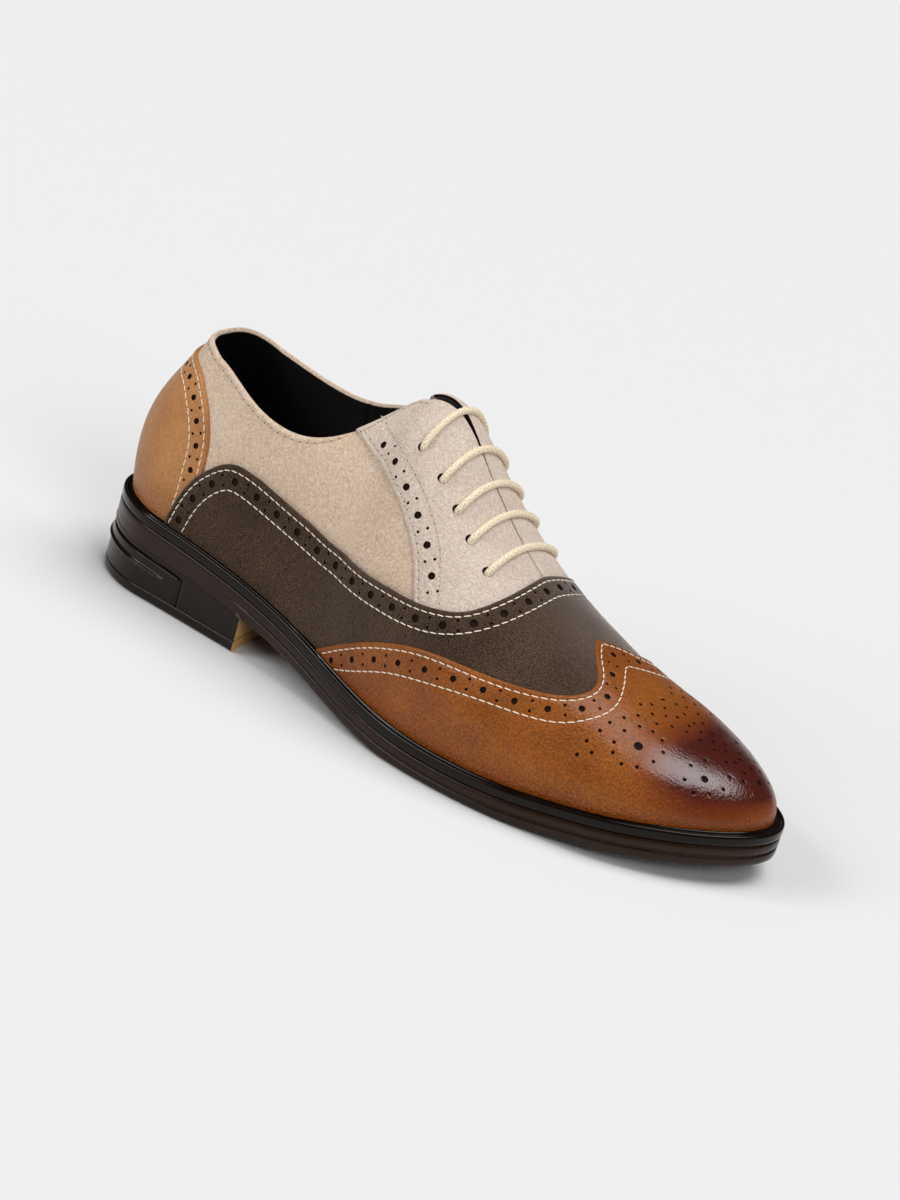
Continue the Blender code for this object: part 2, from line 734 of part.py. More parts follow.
def add_eyelet_cutter():
    """Ten round punches through the facings and the upper."""
    faces = []
    points = []
    turn = np.linspace(0, 2 * pi, EYELET_SIDES, endpoint=False)[:, None]
    for side in (LATERAL, MEDIAL):
        for station, t in zip(EYELETS["station"], EYELETS["t"]):
            low, high = skin(side, station, t, PUNCH[0]), skin(side, station, t, PUNCH[1])
            along = last(side, station + 1, t) - last(side, station, t)
            axis = (high - low) / np.linalg.norm(high - low)
            first = np.cross(axis, along / np.linalg.norm(along))
            circle = EYELET_RADIUS * (np.cos(turn) * first + np.sin(turn) * np.cross(axis, first))
            start = len(points) * EYELET_SIDES
            lower = list(range(start, start + EYELET_SIDES))
            upper = [i + EYELET_SIDES for i in lower]
            points += [low + circle, high + circle]
            faces += [*ring_between(lower, upper), tuple(lower), tuple(upper)]
    cutter = add_solid("eyelet_cutter", np.concatenate(points), faces, SUEDE)
    cutter.hide_render = True
    cutter.display_type = "WIRE"
    return cutter


def punch(piece, cutter):
    cut = piece.modifiers.new("eyelets", "BOOLEAN")
    cut.operation = "DIFFERENCE"
    cut.solver = "EXACT"
    cut.object = cutter


def bar(row, side):
    """Over the throat from one eyelet to its partner, coming up on the given side."""
    station, t = EYELETS["station"][row], EYELETS["t"][row]
    half = [(t + rise, lift) for rise, lift in BAR_CLIMB] + [(BAR_LEVEL, LACE_OVER)]
    up = [(side, station, level, lift) for level, lift in half]
    down = [(-side, station, level, lift) for level, lift in half[::-1]]
    return up + [(side, station, 1.0, LACE_OVER)] + down


def under(side, start, end, aside):
    """Hidden run inside the facing between two rows, set aside from the eyelets that it passes."""
    a, b = EYELETS["station"][[start, end]]
    t = (EYELETS["t"][start] + EYELETS["t"][end]) / 2
    way = np.sign(b - a)
    near, far = np.multiply(way, RUN_TURN)
    first, second = np.multiply(aside, RUN_ASIDE) + t
    return [
        (side, a + near, first, LACE_UNDER + GAP),
        (side, a + far, second, LACE_UNDER),
        (side, (a + b) / 2, t + aside, LACE_UNDER),
        (side, b - far, second, LACE_UNDER),
        (side, b - near, first, LACE_UNDER + GAP),
    ]


def lace_route():
    """One lace in straight bars: both of its ends stop inside at the top eyelets."""
    return np.array([
        *under(MEDIAL, 1, 0, -LACE_ASIDE)[2:],
        *bar(0, MEDIAL),
        *under(LATERAL, 0, 2, LACE_ASIDE),
        *bar(2, LATERAL),
        *under(MEDIAL, 2, 4, LACE_ASIDE),
        *bar(4, MEDIAL),
        *under(LATERAL, 4, 3, 0)[::2],
        *bar(3, LATERAL),
        *under(MEDIAL, 3, 1, -LACE_ASIDE),
        *bar(1, MEDIAL),
        *under(LATERAL, 1, 0, -LACE_ASIDE)[:3],
    ])


def thinned(path):
    """Points of a path at which it has turned or gone on far enough to need one."""
    way = np.diff(path, axis=0)
    way /= np.linalg.norm(way, axis=1, keepdims=True)
    kept = [0]
    for i in range(1, len(way)):
        bend = np.degrees(np.arccos(np.clip(way[i] @ way[kept[-1]], -1, 1)))
        if bend > LACE_BEND or np.linalg.norm(path[i] - path[kept[-1]]) > LACE_STRETCH:
            kept.append(i)
    return path[[*kept, -1]]


def add_lace():
    side, station, t, lift = lace_route().T
    path = thinned(curve_through(skin(side, station, t, lift), LACE_STEP))
    curve = bpy.data.curves.new("lace", "CURVE")
    curve.dimensions = "3D"
    curve.bevel_depth = LACE_RADIUS * MM
    curve.bevel_resolution = LACE_ROUND
    curve.use_fill_caps = True
    strand = curve.splines.new("POLY")
    strand.points.add(len(path) - 1)
    for point, place in zip(strand.points, (path - ORIGIN) * MM):
        point.co = (*place, 1)
    return add_object("lace", curve, COTTON)


add_outsole()
add_welt()
add_heel()
add_top_lift()
add_insole()
eyelets = add_eyelet_cutter()
add_tongue()
add_vamp_panel()
add_wing_cap()
add_counter()
add_lace()
for leather in (add_upper(), add_facing("facing_lateral", LATERAL), add_facing("facing_medial", MEDIAL)):
    punch(leather, eyelets)
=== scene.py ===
"""Right brogue shoe, finished: leathers, punching, stitches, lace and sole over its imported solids."""

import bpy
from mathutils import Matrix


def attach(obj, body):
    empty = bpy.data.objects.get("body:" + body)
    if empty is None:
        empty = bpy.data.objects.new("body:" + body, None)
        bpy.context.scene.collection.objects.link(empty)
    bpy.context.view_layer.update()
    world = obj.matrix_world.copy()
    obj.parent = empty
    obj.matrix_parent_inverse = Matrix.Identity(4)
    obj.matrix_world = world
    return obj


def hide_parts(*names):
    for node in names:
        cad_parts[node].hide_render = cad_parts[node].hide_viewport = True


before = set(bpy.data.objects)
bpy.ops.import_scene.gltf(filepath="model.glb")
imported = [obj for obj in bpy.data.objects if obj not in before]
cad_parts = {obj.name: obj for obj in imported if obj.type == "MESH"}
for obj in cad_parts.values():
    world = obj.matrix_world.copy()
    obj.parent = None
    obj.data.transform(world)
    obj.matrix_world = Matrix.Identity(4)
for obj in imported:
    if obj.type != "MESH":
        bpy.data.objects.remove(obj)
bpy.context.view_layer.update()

from collections import namedtuple
from math import pi, radians

import bpy
import numpy as np
from mathutils import Matrix, Vector
from mathutils.geometry import delaunay_2d_cdt
from mathutils.kdtree import KDTree

# The last, in millimetres from the heel back, as the solids have it
MM = 0.001
HEEL_FAN = 34.0
HEEL_SWEEP = 33.0
TOE_FAN = 238.0
TOE_SWEEP = 44.0
BACK = HEEL_FAN - HEEL_SWEEP * pi / 2
TIP = TOE_FAN + TOE_SWEEP * pi / 2
THROAT = 122.0
SLIT_END = 186.0
LATERAL = -1.0
MEDIAL = 1.0
SPINE_Y = -3.0
SPINE_POINTS = 400
GAP = 0.3
TINY = 1e-9
NUDGE = 0.02
NUDGE_T = 0.002
NORMAL_TOP = 0.99


def table(columns, *rows):
    return dict(zip(columns.split(), np.array(rows, float).T))


# Plan reach to each side, sole margin, height of the welt and turn of the spine in degrees
FOOT = table(
    "station lateral medial margin rim heading",
    (BACK, 31.5, 31.5, 3.5, 33.0, 0),
    (10, 29.5, 29.5, 3.5, 32.6, 0),
    (34, 29.0, 29.0, 3.5, 31.2, 0),
    (75, 30.5, 27.5, 3.5, 27.3, 0),
    (105, 33.0, 25.5, 3.5, 22.2, 0),
    (135, 39.5, 30.5, 4.0, 16.4, 0),
    (165, 46.5, 39.0, 4.5, 12.5, 1),
    (190, 48.5, 45.0, 4.8, 11.6, 3.6),
    (212, 47.5, 46.0, 5.0, 12.2, 6.6),
    (TOE_FAN, 43.5, 44.0, 5.0, 14.7, 9),
    (265, 42.5, 43.0, 5.0, 17.6, 9),
    (290, 49.0, 49.0, 5.0, 19.8, 9),
    (TIP, 53.5, 53.5, 5.0, 20.5, 9),
)
# How each half section leaves the welt: outward lean in degrees and length of the handle
WALL = table(
    "station lateral medial rise",
    (BACK, 11, 11, 37.0),
    (34, 6, 6, 28.5),
    (75, 2, 0, 24.0),
    (105, -2, -4, 26.5),
    (135, 2, -3, 28.5),
    (165, 6, 0, 27.0),
    (190, 8, 5, 23.0),
    (215, 8, 8, 20.0),
    (TOE_FAN, 8, 8, 16.0),
    (275, 8, 8, 16.5),
    (TIP, 8, 8, 18.0),
)
# How each half section ends: height and reach of the topline or crest, ridge offset, lean and handle
CREST = table(
    "station z_lateral z_medial r_lateral r_medial ridge lean draw",
    (BACK, 98.5, 98.5, 16.2, 16.2, 0, 24, 25.0),
    (12, 98.2, 98.4, 18.0, 18.0, 0, 18, 24.0),
    (34, 96.0, 94.5, 20.2, 21.0, 0, 12, 22.0),
    (58, 88.7, 89.5, 26.6, 25.4, 0, 8, 20.0),
    (80, 85.2, 91.0, 25.7, 26.0, 0, 12, 19.0),
    (94, 90.6, 97.0, 22.3, 23.5, 0.7, 28, 19.0),
    (108, 102.3, 104.5, 11.0, 14.0, 2.0, 58, 20.0),
    (THROAT, 114.5, 114.5, 0, 0, 3.5, 90, 28.0),
    (150, 99.8, 99.8, 0, 0, 4.6, 90, 33.0),
    (180, 74.6, 74.6, 0, 0, 4.6, 90, 37.0),
    (205, 60.7, 60.7, 0, 0, 4.0, 90, 36.0),
    (TOE_FAN, 47.0, 47.0, 0, 0, 0, 90, 33.5),
    (TIP, 47.0, 47.0, 0, 0, 0, 90, 29.6),
)
# Opening of the throat to each side of the crest, in millimetres
SLIT = table(
    "station lateral medial",
    (108, 0, 0),
    (116, 2.4, 0.4),
    (THROAT, 5.6, 0.8),
    (127, 4.6, 0.8),
    (134, 2.6, 0.6),
    (142, 1.1, 0.4),
    (150, 0.45, 0.3),
    (178, 0.3, 0.25),
    (SLIT_END, 0, 0),
)
THROAT_GAP = 0.25
FEATHER = 0.006

# Edges of the leathers on the last, from the welt upward
VAMP_EDGE = table(
    "station t",
    (36.5, FEATHER),
    (40.2, 0.17),
    (45.3, 0.33),
    (51.2, 0.455),
    (56.5, 0.547),
    (62.5, 0.604),
    (67, 0.616),
    (72, 0.618),
    (77, 0.604),
    (82.5, 0.579),
    (88, 0.545),
    (93.5, 0.502),
    (99, 0.457),
    (104.5, 0.412),
    (110, 0.374),
    (116, 0.346),
    (122.5, 0.332),
    (128.5, 0.333),
    (135, 0.343),
    (145, 0.374),
    (158, 0.43),
    (169, 0.503),
    (175.6, 0.572),
    (182, 0.711),
    (184.6, 0.862),
    (184.2, 1),
)
WING_EDGE = table(
    "station t",
    (121.8, FEATHER),
    (126.4, 0.05),
    (131.6, 0.094),
    (138.2, 0.143),
    (148.4, 0.213),
    (157, 0.268),
    (165, 0.318),
    (174.9, 0.373),
    (184.4, 0.418),
    (194.1, 0.46),
    (203.1, 0.503),
    (212.5, 0.563),
    (219.8, 0.648),
    (222.5, 0.742),
    (220.5, 0.83),
    (216.6, 0.893),
    (210.5, 1),
)
WING_INNER = table(
    "station t",
    (133.5, FEATHER),
    (146, 0.088),
    (158.6, 0.17),
    (174.3, 0.252),
    (194.5, 0.346),
    (210.1, 0.403),
    (221.2, 0.472),
    (227.7, 0.572),
    (231.6, 0.723),
    (229.6, 0.849),
    (225.1, 0.962),
    (223.2, 1),
)
COUNTER_EDGE = table(
    "station t",
    (46.2, FEATHER),
    (47.3, 0.13),
    (47.6, 0.27),
    (46.8, 0.42),
    (45.3, 0.553),
    (42.1, 0.654),
    (38.2, 0.736),
    (32.3, 0.812),
    (23.8, 0.862),
    (15.4, 0.884),
    (7, 0.892),
    (-1, 0.9),
    (-9, 0.912),
    (-14, 0.925),
    (-17.4, 0.938),
)
FACING_EDGE = table(
    "station t",
    (166, 0.335),
    (155.4, 0.457),
    (150.3, 0.513),
    (143.6, 0.546),
    (135.2, 0.569),
    (124.3, 0.598),
    (119.3, 0.628),
    (114.3, 0.688),
    (110, 0.768),
    (106.6, 0.848),
    (103.3, 0.932),
    (100.7, 1),
)
FACING_HOLES = table(
    "station t",
    (115.7, 0.723),
    (128, 0.635),
    (137.8, 0.616),
    (146.3, 0.602),
    (153.8, 0.58),
    (160.2, 0.537),
    (166, 0.475),
)
EYELETS = table(
    "station t",
    (133.2, 0.752),
    (145, 0.762),
    (154.7, 0.767),
    (163.8, 0.763),
    (174.3, 0.762),
)

# Lifts of the finished leathers above the last, and how far one piece runs on under the next
QUARTER_LIFT = -0.9
LINING_LIFT = -3.0
FACING_LIFT = 0.5
COUNTER_LIFT = 0.25
VAMP_LIFT = 1.2
VAMP_UNDER_WING = 0.5
VAMP_SINK = 16.0
WING_LIFT = 1.4
SHEET_DEPTH = 1.2
UNDERLAP = 5.0
TUCK_DEEP = 0.7
TUCK_LEVELS = -0.004, 0.03
WHOLLY_COVERED = 2.0

# How far the finished topline stands above the last's, and the padding at the top of the throat
TOPLINE_RISE = table(
    "station lateral medial",
    (BACK, 2.6, 2.6),
    (0, 2.2, 2.4),
    (14, 1.0, 2.2),
    (30, 0, 2.0),
    (95, 0, 1.8),
    (110, 0.8, 1.6),
    (THROAT, 0, 0),
)
THROAT_PAD = 1.9
PAD_STATIONS = 98.0, 119.0, 126.0, 154.0
PAD_LEVELS = 0.82, 0.99

# Turned edge: rounded rim, bead and stitch rows, as distances from the edge
RIM_DROP = 0.5
RIM_WIDE = 0.8
BEAD = 0.16
BEAD_AT = 1.1
BEAD_WIDE = 0.7
PULL = 0.2
PULL_WIDE = 0.55
FIRST_ROW = 2.1
SECOND_ROW = 9.1
EDGE_ROWS = 0.3, 0.7, 1.2, 1.7, 2.1, 2.6, 3.2, 8.5, 9.1, 9.7
NEAR_ROWS = EDGE_ROWS[:7]
BESIDE_ROW = -0.6, 0, 0.6
HOLE_SHARE = 0.57
TOPLINE_ROW = 2.2

# Punching: radius of large and small holes, pitch of the large ones, spread of a pair, start of a row
WING_HOLE = 1.2
VAMP_HOLE = 1.5
FACING_HOLE = 1.4
COUNTER_HOLE = 1.2
SMALL_HOLE = 0.58
WING_PITCH = 11.9
VAMP_PITCH = 11.2
FACING_PITCH = 11.6
COUNTER_PITCH = 9.3
PAIR_SPREAD = 1.85
HOLE_ROW = 5.5
VAMP_START = 4.0
COUNTER_START = 5.0
HOLE_COLLAR = 0.28
HOLE_DIP = 0.06
HOLE_DEPTH = 0.6
EYELET_RADIUS = 1.9

# Thread and lace
STITCH_PITCH = 3.25
STITCH_LENGTH = 2.75
STITCH_WIDE = 0.24
NEEDLE_HOLE = 0.34
LACE_RADIUS = 1.38
LACE_OVER = 1.4
LACE_UNDER = -5.4
LACE_ASIDE = 0.07
LACE_STEP = 0.25
LACE_SIDES = 20
BRAID_LAY = 5.2
BRAID_STRANDS = 6
BRAID_RELIEF = 0.06

# Sole unit
WELT_THICK = 3.9
WELT_WIDTH = 8.0
SOLE_THICK = 12.4
SOLE_GROOVE = 7.9
GROOVE = 0.6
GROOVE_FADE = 62.0, 100.0
EDGE_ROUND = 2.2
SEAT_ROUND = GAP * 0.4
EDGE_SHY = 0.2
INSOLE_INSET = 4.0
INSOLE_TOP = 3.0
LIFT_THICK = 4.2
BREAST = 84.0
BREAST_SAG = 5.0
BREAST_BLEND = 82.0, 96.0
HEEL_LINE = 14.6
HEEL_RIDGE = 19.2
HEEL_PANEL_END = 53.0
HEEL_RIDGE_FADE = 49.0, 39.0

# Flat patterns: triangles are kept inside the outline, points this near are one, and a side is this wide
CUT_INSIDE = 1
CUT_NEAR = 1e-7
GIRTH = 60.0


def spline(knots, values, at, flat=True):
    """Cubic spline through a table's column, level at both ends unless it runs free."""
    width = np.diff(knots)
    slope = np.diff(values) / width
    count = len(knots)
    matrix = np.eye(count)
    target = np.zeros(count)
    for i in range(1, count - 1):
        matrix[i, i - 1:i + 2] = 1 / width[i - 1], 2 / width[i - 1] + 2 / width[i], 1 / width[i]
        target[i] = 3 * (slope[i - 1] / width[i - 1] + slope[i] / width[i])
    if not flat:
        matrix[0, :2] = matrix[-1, :-3:-1] = 2, 1
        target[0], target[-1] = 3 * slope[0], 3 * slope[-1]
    tangent = np.linalg.solve(matrix, target)
    at = np.clip(at, knots[0], knots[-1])
    k = np.clip(np.searchsorted(knots, at) - 1, 0, count - 2)
    s = (at - knots[k]) / width[k]
    ends = (1 + 2 * s) * (1 - s) ** 2 * values[k] + s * s * (3 - 2 * s) * values[k + 1]
    return ends + s * (1 - s) * width[k] * ((1 - s) * tangent[k] - s * tangent[k + 1])


def foot(column, station):
    return spline(FOOT["station"], FOOT[column], station)


def by_side(side, lateral, medial):
    return np.where(side < 0, lateral, medial)


RUN = np.linspace(HEEL_FAN, TOE_FAN, SPINE_POINTS)
SWAY = np.concatenate([[0], np.cumsum(np.tan(np.radians(foot("heading", RUN[1:]))) * np.diff(RUN))])


def half_plane(side, station):
    """Point on the spine, and outward direction, of the half section at a station."""
    x = np.clip(station, HEEL_FAN, TOE_FAN)
    turn = np.radians(foot("heading", x))
    swing = np.clip((HEEL_FAN - station) / HEEL_SWEEP, 0, pi / 2)
    swing = swing - np.clip((station - TOE_FAN) / TOE_SWEEP, 0, pi / 2)
    angle = turn + side * (pi / 2 + swing)
    origin = np.stack([x, SPINE_Y + np.interp(x, RUN, SWAY)], -1)
    return origin, np.stack([np.cos(angle), np.sin(angle)], -1)


def crest(column, station, end):
    rows = CREST["station"] <= end
    return spline(CREST["station"][rows], CREST[column][rows], station, flat=end < TOE_FAN)


POLE_SLOPE = crest("z_lateral", TOE_FAN, TOE_FAN) - crest("z_lateral", TOE_FAN - 1, TOE_FAN)


def last(side, station, t):
    """Point of the last: t runs from the welt, 0, to the topline or the crest, 1."""
    side, station, t = np.broadcast_arrays(np.asarray(side, float), station, t)
    reach = by_side(side, foot("lateral", station), foot("medial", station))
    lean = [np.radians(spline(WALL["station"], WALL[key], station)) for key in ("lateral", "medial")]
    lean = by_side(side, *lean)
    rise = spline(WALL["station"], WALL["rise"], station)
    top_r = by_side(side, *[crest(key, station, THROAT) for key in ("r_lateral", "r_medial")])
    top_r = top_r - side * spline(CREST["station"], CREST["ridge"], station)
    top_z = by_side(side, *[crest(key, station, TOE_FAN) for key in ("z_lateral", "z_medial")])
    tilt = np.radians(crest("lean", station, THROAT))
    draw = spline(CREST["station"], CREST["draw"], station)
    fall = POLE_SLOPE * np.sin(np.clip((station - TOE_FAN) / TOE_SWEEP, 0, pi / 2))
    low_z = foot("rim", station)
    weights = (1 - t) ** 3, 3 * (1 - t) ** 2 * t, 3 * (1 - t) * t ** 2, t ** 3
    r = (reach, reach + rise * np.sin(lean), top_r + draw * np.sin(tilt), top_r)
    z = (low_z, low_z + rise * np.cos(lean), top_z + draw * (fall - np.cos(tilt)), top_z)
    origin, out = half_plane(side, station)
    plan = origin + out * sum(w * a for w, a in zip(weights, r))[..., None]
    return np.concatenate([plan, sum(w * a for w, a in zip(weights, z))[..., None]], -1)


def skin(side, station, t, lift):
    """Point of the last moved out along its normal."""
    side, station, t = np.broadcast_arrays(np.asarray(side, float), station, t)
    level = np.clip(t, 0, NORMAL_TOP)
    along = last(side, station + NUDGE, level) - last(side, station - NUDGE, level)
    up = last(side, station, level + NUDGE_T) - last(side, station, level - NUDGE_T)
    normal = np.cross(along, up) * -side[..., None]
    normal /= np.linalg.norm(normal, axis=-1, keepdims=True)
    return last(side, station, t) + normal * np.asarray(lift)[..., None]


def top_edge(side, station, least=0.0):
    """Level t of the topline and of the throat's edge, which leave the crest open."""
    key = "lateral" if side < 0 else "medial"
    half = np.interp(station, SLIT["station"], SLIT[key], left=0, right=0)
    half = np.where(station >= THROAT, np.maximum(half, least), half)
    rise = np.interp(station, TOPLINE_RISE["station"], TOPLINE_RISE[key])
    crest_speed = 3 * spline(CREST["station"], CREST["draw"], station)
    return 1 + (rise - half) / crest_speed


def edge(side, station, inset):
    """Plan point of the sole's outline, moved in by an inset."""
    origin, out = half_plane(np.full_like(station, side), station)
    reach = foot("lateral" if side < 0 else "medial", station) + foot("margin", station)
    return origin + out * (reach - inset)[:, None]


def station_steps(heel, straight, toe):
    """Stations of the sections: even steps round the heel, between the fans and round the toe."""
    middle = np.linspace(HEEL_FAN, TOE_FAN, straight + 1)[1:-1]
    return np.concatenate([np.linspace(BACK, HEEL_FAN, heel + 1), middle, np.linspace(TOE_FAN, TIP, toe + 1)])


SOLE_STATIONS = station_steps(26, 80, 34)
# The frame's origin is the middle of the sole's outline, as the solids have it
OUTLINE = np.concatenate([
    edge(LATERAL, station_steps(7, 14, 10), 0),
    edge(MEDIAL, station_steps(7, 14, 10), 0),
    edge(LATERAL, np.array([BACK]), GAP - GROOVE),
])
ORIGIN = np.append((OUTLINE.min(0) + OUTLINE.max(0)) / 2, 0)


def ease(value, start, end):
    s = np.clip((value - start) / (end - start), 0, 1)
    return s * s * (3 - 2 * s)


def bell(value, middle, wide):
    return np.exp(-((value - middle) / wide) ** 2)


def throat_pad(station, t):
    """Extra height of the padded top of the throat."""
    rear, full, front, end = PAD_STATIONS
    return THROAT_PAD * ease(station, rear, full) * ease(station, end, front) * ease(t, *PAD_LEVELS)


def tucked_under(station, t):
    """How far a leather sinks where it runs on under the vamp's edge."""
    cover = np.interp(station, VAMP_EDGE["station"][:-1], VAMP_EDGE["t"][:-1])
    cover = np.where(station > VAMP_EDGE["station"][-2], WHOLLY_COVERED, cover)
    return TUCK_DEEP * ease(cover - t, *TUCK_LEVELS)


# Materials

def tone(code):
    """Linear colour of an sRGB hex value."""
    srgb = np.array([int(code[i:i + 2], 16) for i in (1, 3, 5)]) / 255
    return (*np.where(srgb <= 0.04045, srgb / 12.92, ((srgb + 0.055) / 1.055) ** 2.4), 1.0)


def per_metre(size):
    """Texture scale that gives a pattern its real size in millimetres."""
    return 1 / (size * MM)


def finish(name, **sockets):
    """A material with constant values on its shader, and that shader."""
    material = bpy.data.materials.new(name)
    material.use_nodes = True
    shader = material.node_tree.nodes["Principled BSDF"]
    for socket, value in sockets.items():
        shader.inputs[socket.replace("_", " ")].default_value = value
    return material, shader


# Output and setting of a Mix node that mixes colours, and its two colour sockets
COLOUR = {"out": 2, "data_type": "RGBA"}
MIX_A, MIX_B = 6, 7


def add_node(material, kind, inputs, out=0, **settings):
    """A shader node with its settings, and its inputs as values or links; gives one of its outputs."""
    made = material.node_tree.nodes.new("ShaderNode" + kind)
    for key, value in settings.items():
        setattr(made, key, value)
    for key, value in inputs.items():
        if isinstance(value, bpy.types.NodeSocket):
            material.node_tree.links.new(value, made.inputs[key])
        else:
            made.inputs[key].default_value = value
    return made.outputs[out]


def connect(material, shader, **links):
    for socket, source in links.items():
        material.node_tree.links.new(source, shader.inputs[socket.replace("_", " ")])


def brushed_suede(name, pile, shade, bloom):
    # Split leather brushed to a long nap: matt, with pale and dark tufts where the fibres lie differently.
    # The tufts are drawn coarser than real fibres, so that they show
    material, shader = finish(
        name, Roughness=0.95, Sheen_Weight=0.25, Sheen_Roughness=0.6, Sheen_Tint=tone(bloom),
        Specular_IOR_Level=0.2)
    place = add_node(material, "TexCoord", {}, "Object")
    tuft = add_node(material, "TexNoise", {
        "Vector": place, "Scale": per_metre(0.9), "Detail": 4.0, "Roughness": 0.72, "Distortion": 0.8})
    hand = add_node(material, "TexNoise", {"Vector": place, "Scale": per_metre(22), "Detail": 2.0})
    mark = add_node(material, "MapRange", {"Value": tuft, "From Min": 0.36, "From Max": 0.64})
    cloud = add_node(material, "MapRange", {"Value": hand, "From Min": 0.3, "From Max": 0.75})
    nap = add_node(material, "Mix", {0: mark, MIX_A: tone(shade), MIX_B: tone(pile)}, **COLOUR)
    drift = add_node(
        material, "Mix", {0: 0.16, MIX_A: nap, MIX_B: cloud}, **COLOUR, blend_type="SOFT_LIGHT")
    relief = add_node(material, "Bump", {"Height": tuft, "Strength": 1.0, "Distance": 1.1 * MM})
    connect(material, shader, Base_Color=drift, Normal=relief)
    return material


def nubuck():
    # Grain side sanded to a short velvet: black-brown in the shade, greyer where the nap faces the light.
    # The nap is drawn coarser than it is, and its sheen grows towards the toe as painted light, so that the
    # front looks lighter and greyer
    material, shader = finish(
        "dark nubuck", Roughness=0.9, Sheen_Roughness=0.4, Sheen_Tint=tone("#d4ccc6"),
        Specular_IOR_Level=0.15)
    place = add_node(material, "TexCoord", {}, "Object")
    nap = add_node(material, "TexNoise", {
        "Vector": place, "Scale": per_metre(0.42), "Detail": 2.0, "Roughness": 0.6})
    stroke = add_node(material, "TexNoise", {"Vector": place, "Scale": per_metre(30), "Detail": 3.0})
    speck = add_node(material, "MapRange", {"Value": nap, "From Min": 0.36, "From Max": 0.66})
    along = add_node(material, "SeparateXYZ", {"Vector": place}, "X")
    front_light_sheen = add_node(material, "MapRange", {
        "Value": along, "From Min": -60 * MM, "From Max": 50 * MM, "To Min": 0.35, "To Max": 1.0})
    wear = add_node(material, "MapRange", {"Value": stroke, "From Min": 0.3, "From Max": 0.7})
    velvet = add_node(
        material, "Mix", {0: speck, MIX_A: tone("#180d07"), MIX_B: tone("#574334")}, **COLOUR)
    brushed = add_node(
        material, "Mix", {0: 0.22, MIX_A: velvet, MIX_B: wear}, **COLOUR, blend_type="SOFT_LIGHT")
    relief = add_node(material, "Bump", {"Height": nap, "Strength": 0.35, "Distance": 0.3 * MM})
    connect(material, shader, Base_Color=brushed, Normal=relief, Sheen_Weight=front_light_sheen)
    return material


def burnished_calf(name, dark, light, depth_of_grain):
    # Drum-dyed calf, waxed and burnished: pebbled pores, upright wrinkles, dark polish rubbed into the toe,
    # and painted shade low along the welt.
    # Pores and grain are drawn coarser than real ones, so that they show
    material, shader = finish(name, Coat_Roughness=0.17, Coat_IOR=1.7)
    place = add_node(material, "TexCoord", {}, "Object")
    pores = add_node(material, "TexVoronoi", {
        "Vector": place, "Scale": per_metre(1.0), "Randomness": 1.0}, "Distance")
    upright = add_node(material, "Mapping", {"Vector": place, "Scale": (1, 1, 0.6)})
    grain = add_node(material, "TexNoise", {
        "Vector": upright, "Scale": per_metre(0.65), "Detail": 3.0, "Roughness": 0.65, "Distortion": 0.6})
    dye = add_node(material, "TexNoise", {"Vector": place, "Scale": per_metre(26), "Detail": 4.0})
    # The dark mark holds the toe's wax and the painted shade low along the welt
    dark_mark = add_node(material, "Attribute", {}, "Fac", attribute_name="wax_and_shade")
    # Painted highlight: a pale line along the rim, where the rolled edge would catch the light
    rim_glint = add_node(material, "Attribute", {}, "Fac", attribute_name="painted_rim_highlight")
    patch = add_node(material, "MapRange", {"Value": dye, "From Min": 0.3, "From Max": 0.72})
    ground = add_node(material, "Mix", {0: patch, MIX_A: tone(dark), MIX_B: tone(light)}, **COLOUR)
    speck = add_node(material, "MapRange", {
        "Value": grain, "From Min": 0.36, "From Max": 0.64,
        "To Min": 1 - depth_of_grain, "To Max": 1 + depth_of_grain})
    pored = add_node(
        material, "Mix", {0: 1.0, MIX_A: ground, MIX_B: speck}, **COLOUR, blend_type="MULTIPLY")
    blotch = add_node(material, "Math", {0: dye, 1: 0.5}, operation="SUBTRACT")
    rubbed = add_node(
        material, "Math", {0: blotch, 1: 0.5, 2: dark_mark}, operation="MULTIPLY_ADD", use_clamp=True)
    depth = add_node(material, "MapRange", {"Value": rubbed, "From Min": 0.08, "From Max": 0.85})
    ruddy = add_node(
        material, "Mix", {0: depth, MIX_A: tone("#7a2b12"), MIX_B: tone("#481309")}, **COLOUR)
    waxed = add_node(material, "Mix", {0: depth, MIX_A: pored, MIX_B: ruddy}, **COLOUR)
    highlit = add_node(material, "Mix", {0: rim_glint, MIX_A: waxed, MIX_B: tone("#a05f30")}, **COLOUR)
    dull = add_node(material, "MapRange", {"Value": dark_mark, "To Min": 0.5, "To Max": 0.32})
    gloss = add_node(material, "MapRange", {"Value": dark_mark, "From Min": 0.3, "To Min": 0.18, "To Max": 0.8})
    sheen = add_node(material, "MapRange", {"Value": dark_mark, "To Min": 0.18, "To Max": 0.02})
    height = add_node(material, "Math", {0: pores, 1: grain}, operation="ADD")
    relief = add_node(material, "Bump", {"Height": height, "Strength": 0.9, "Distance": 0.55 * MM})
    polish = add_node(material, "Bump", {"Height": height, "Strength": 0.3, "Distance": 0.2 * MM})
    connect(material, shader, Base_Color=highlit, Roughness=dull, Specular_IOR_Level=sheen,
            Coat_Weight=gloss, Normal=relief, Coat_Normal=polish)
    return material


def lining_leather():
    # Dyed pigskin lining: black and matt, with a fine pebble that catches a little light
    material, shader = finish(
        "black lining", Base_Color=tone("#0b0a0a"), Roughness=0.7, Specular_IOR_Level=0.3)
    place = add_node(material, "TexCoord", {}, "Object")
    pebble = add_node(material, "TexNoise", {"Vector": place, "Scale": per_metre(1.2), "Detail": 3.0})
    relief = add_node(material, "Bump", {"Height": pebble, "Strength": 0.3, "Distance": 0.2 * MM})
    connect(material, shader, Normal=relief)
    return material


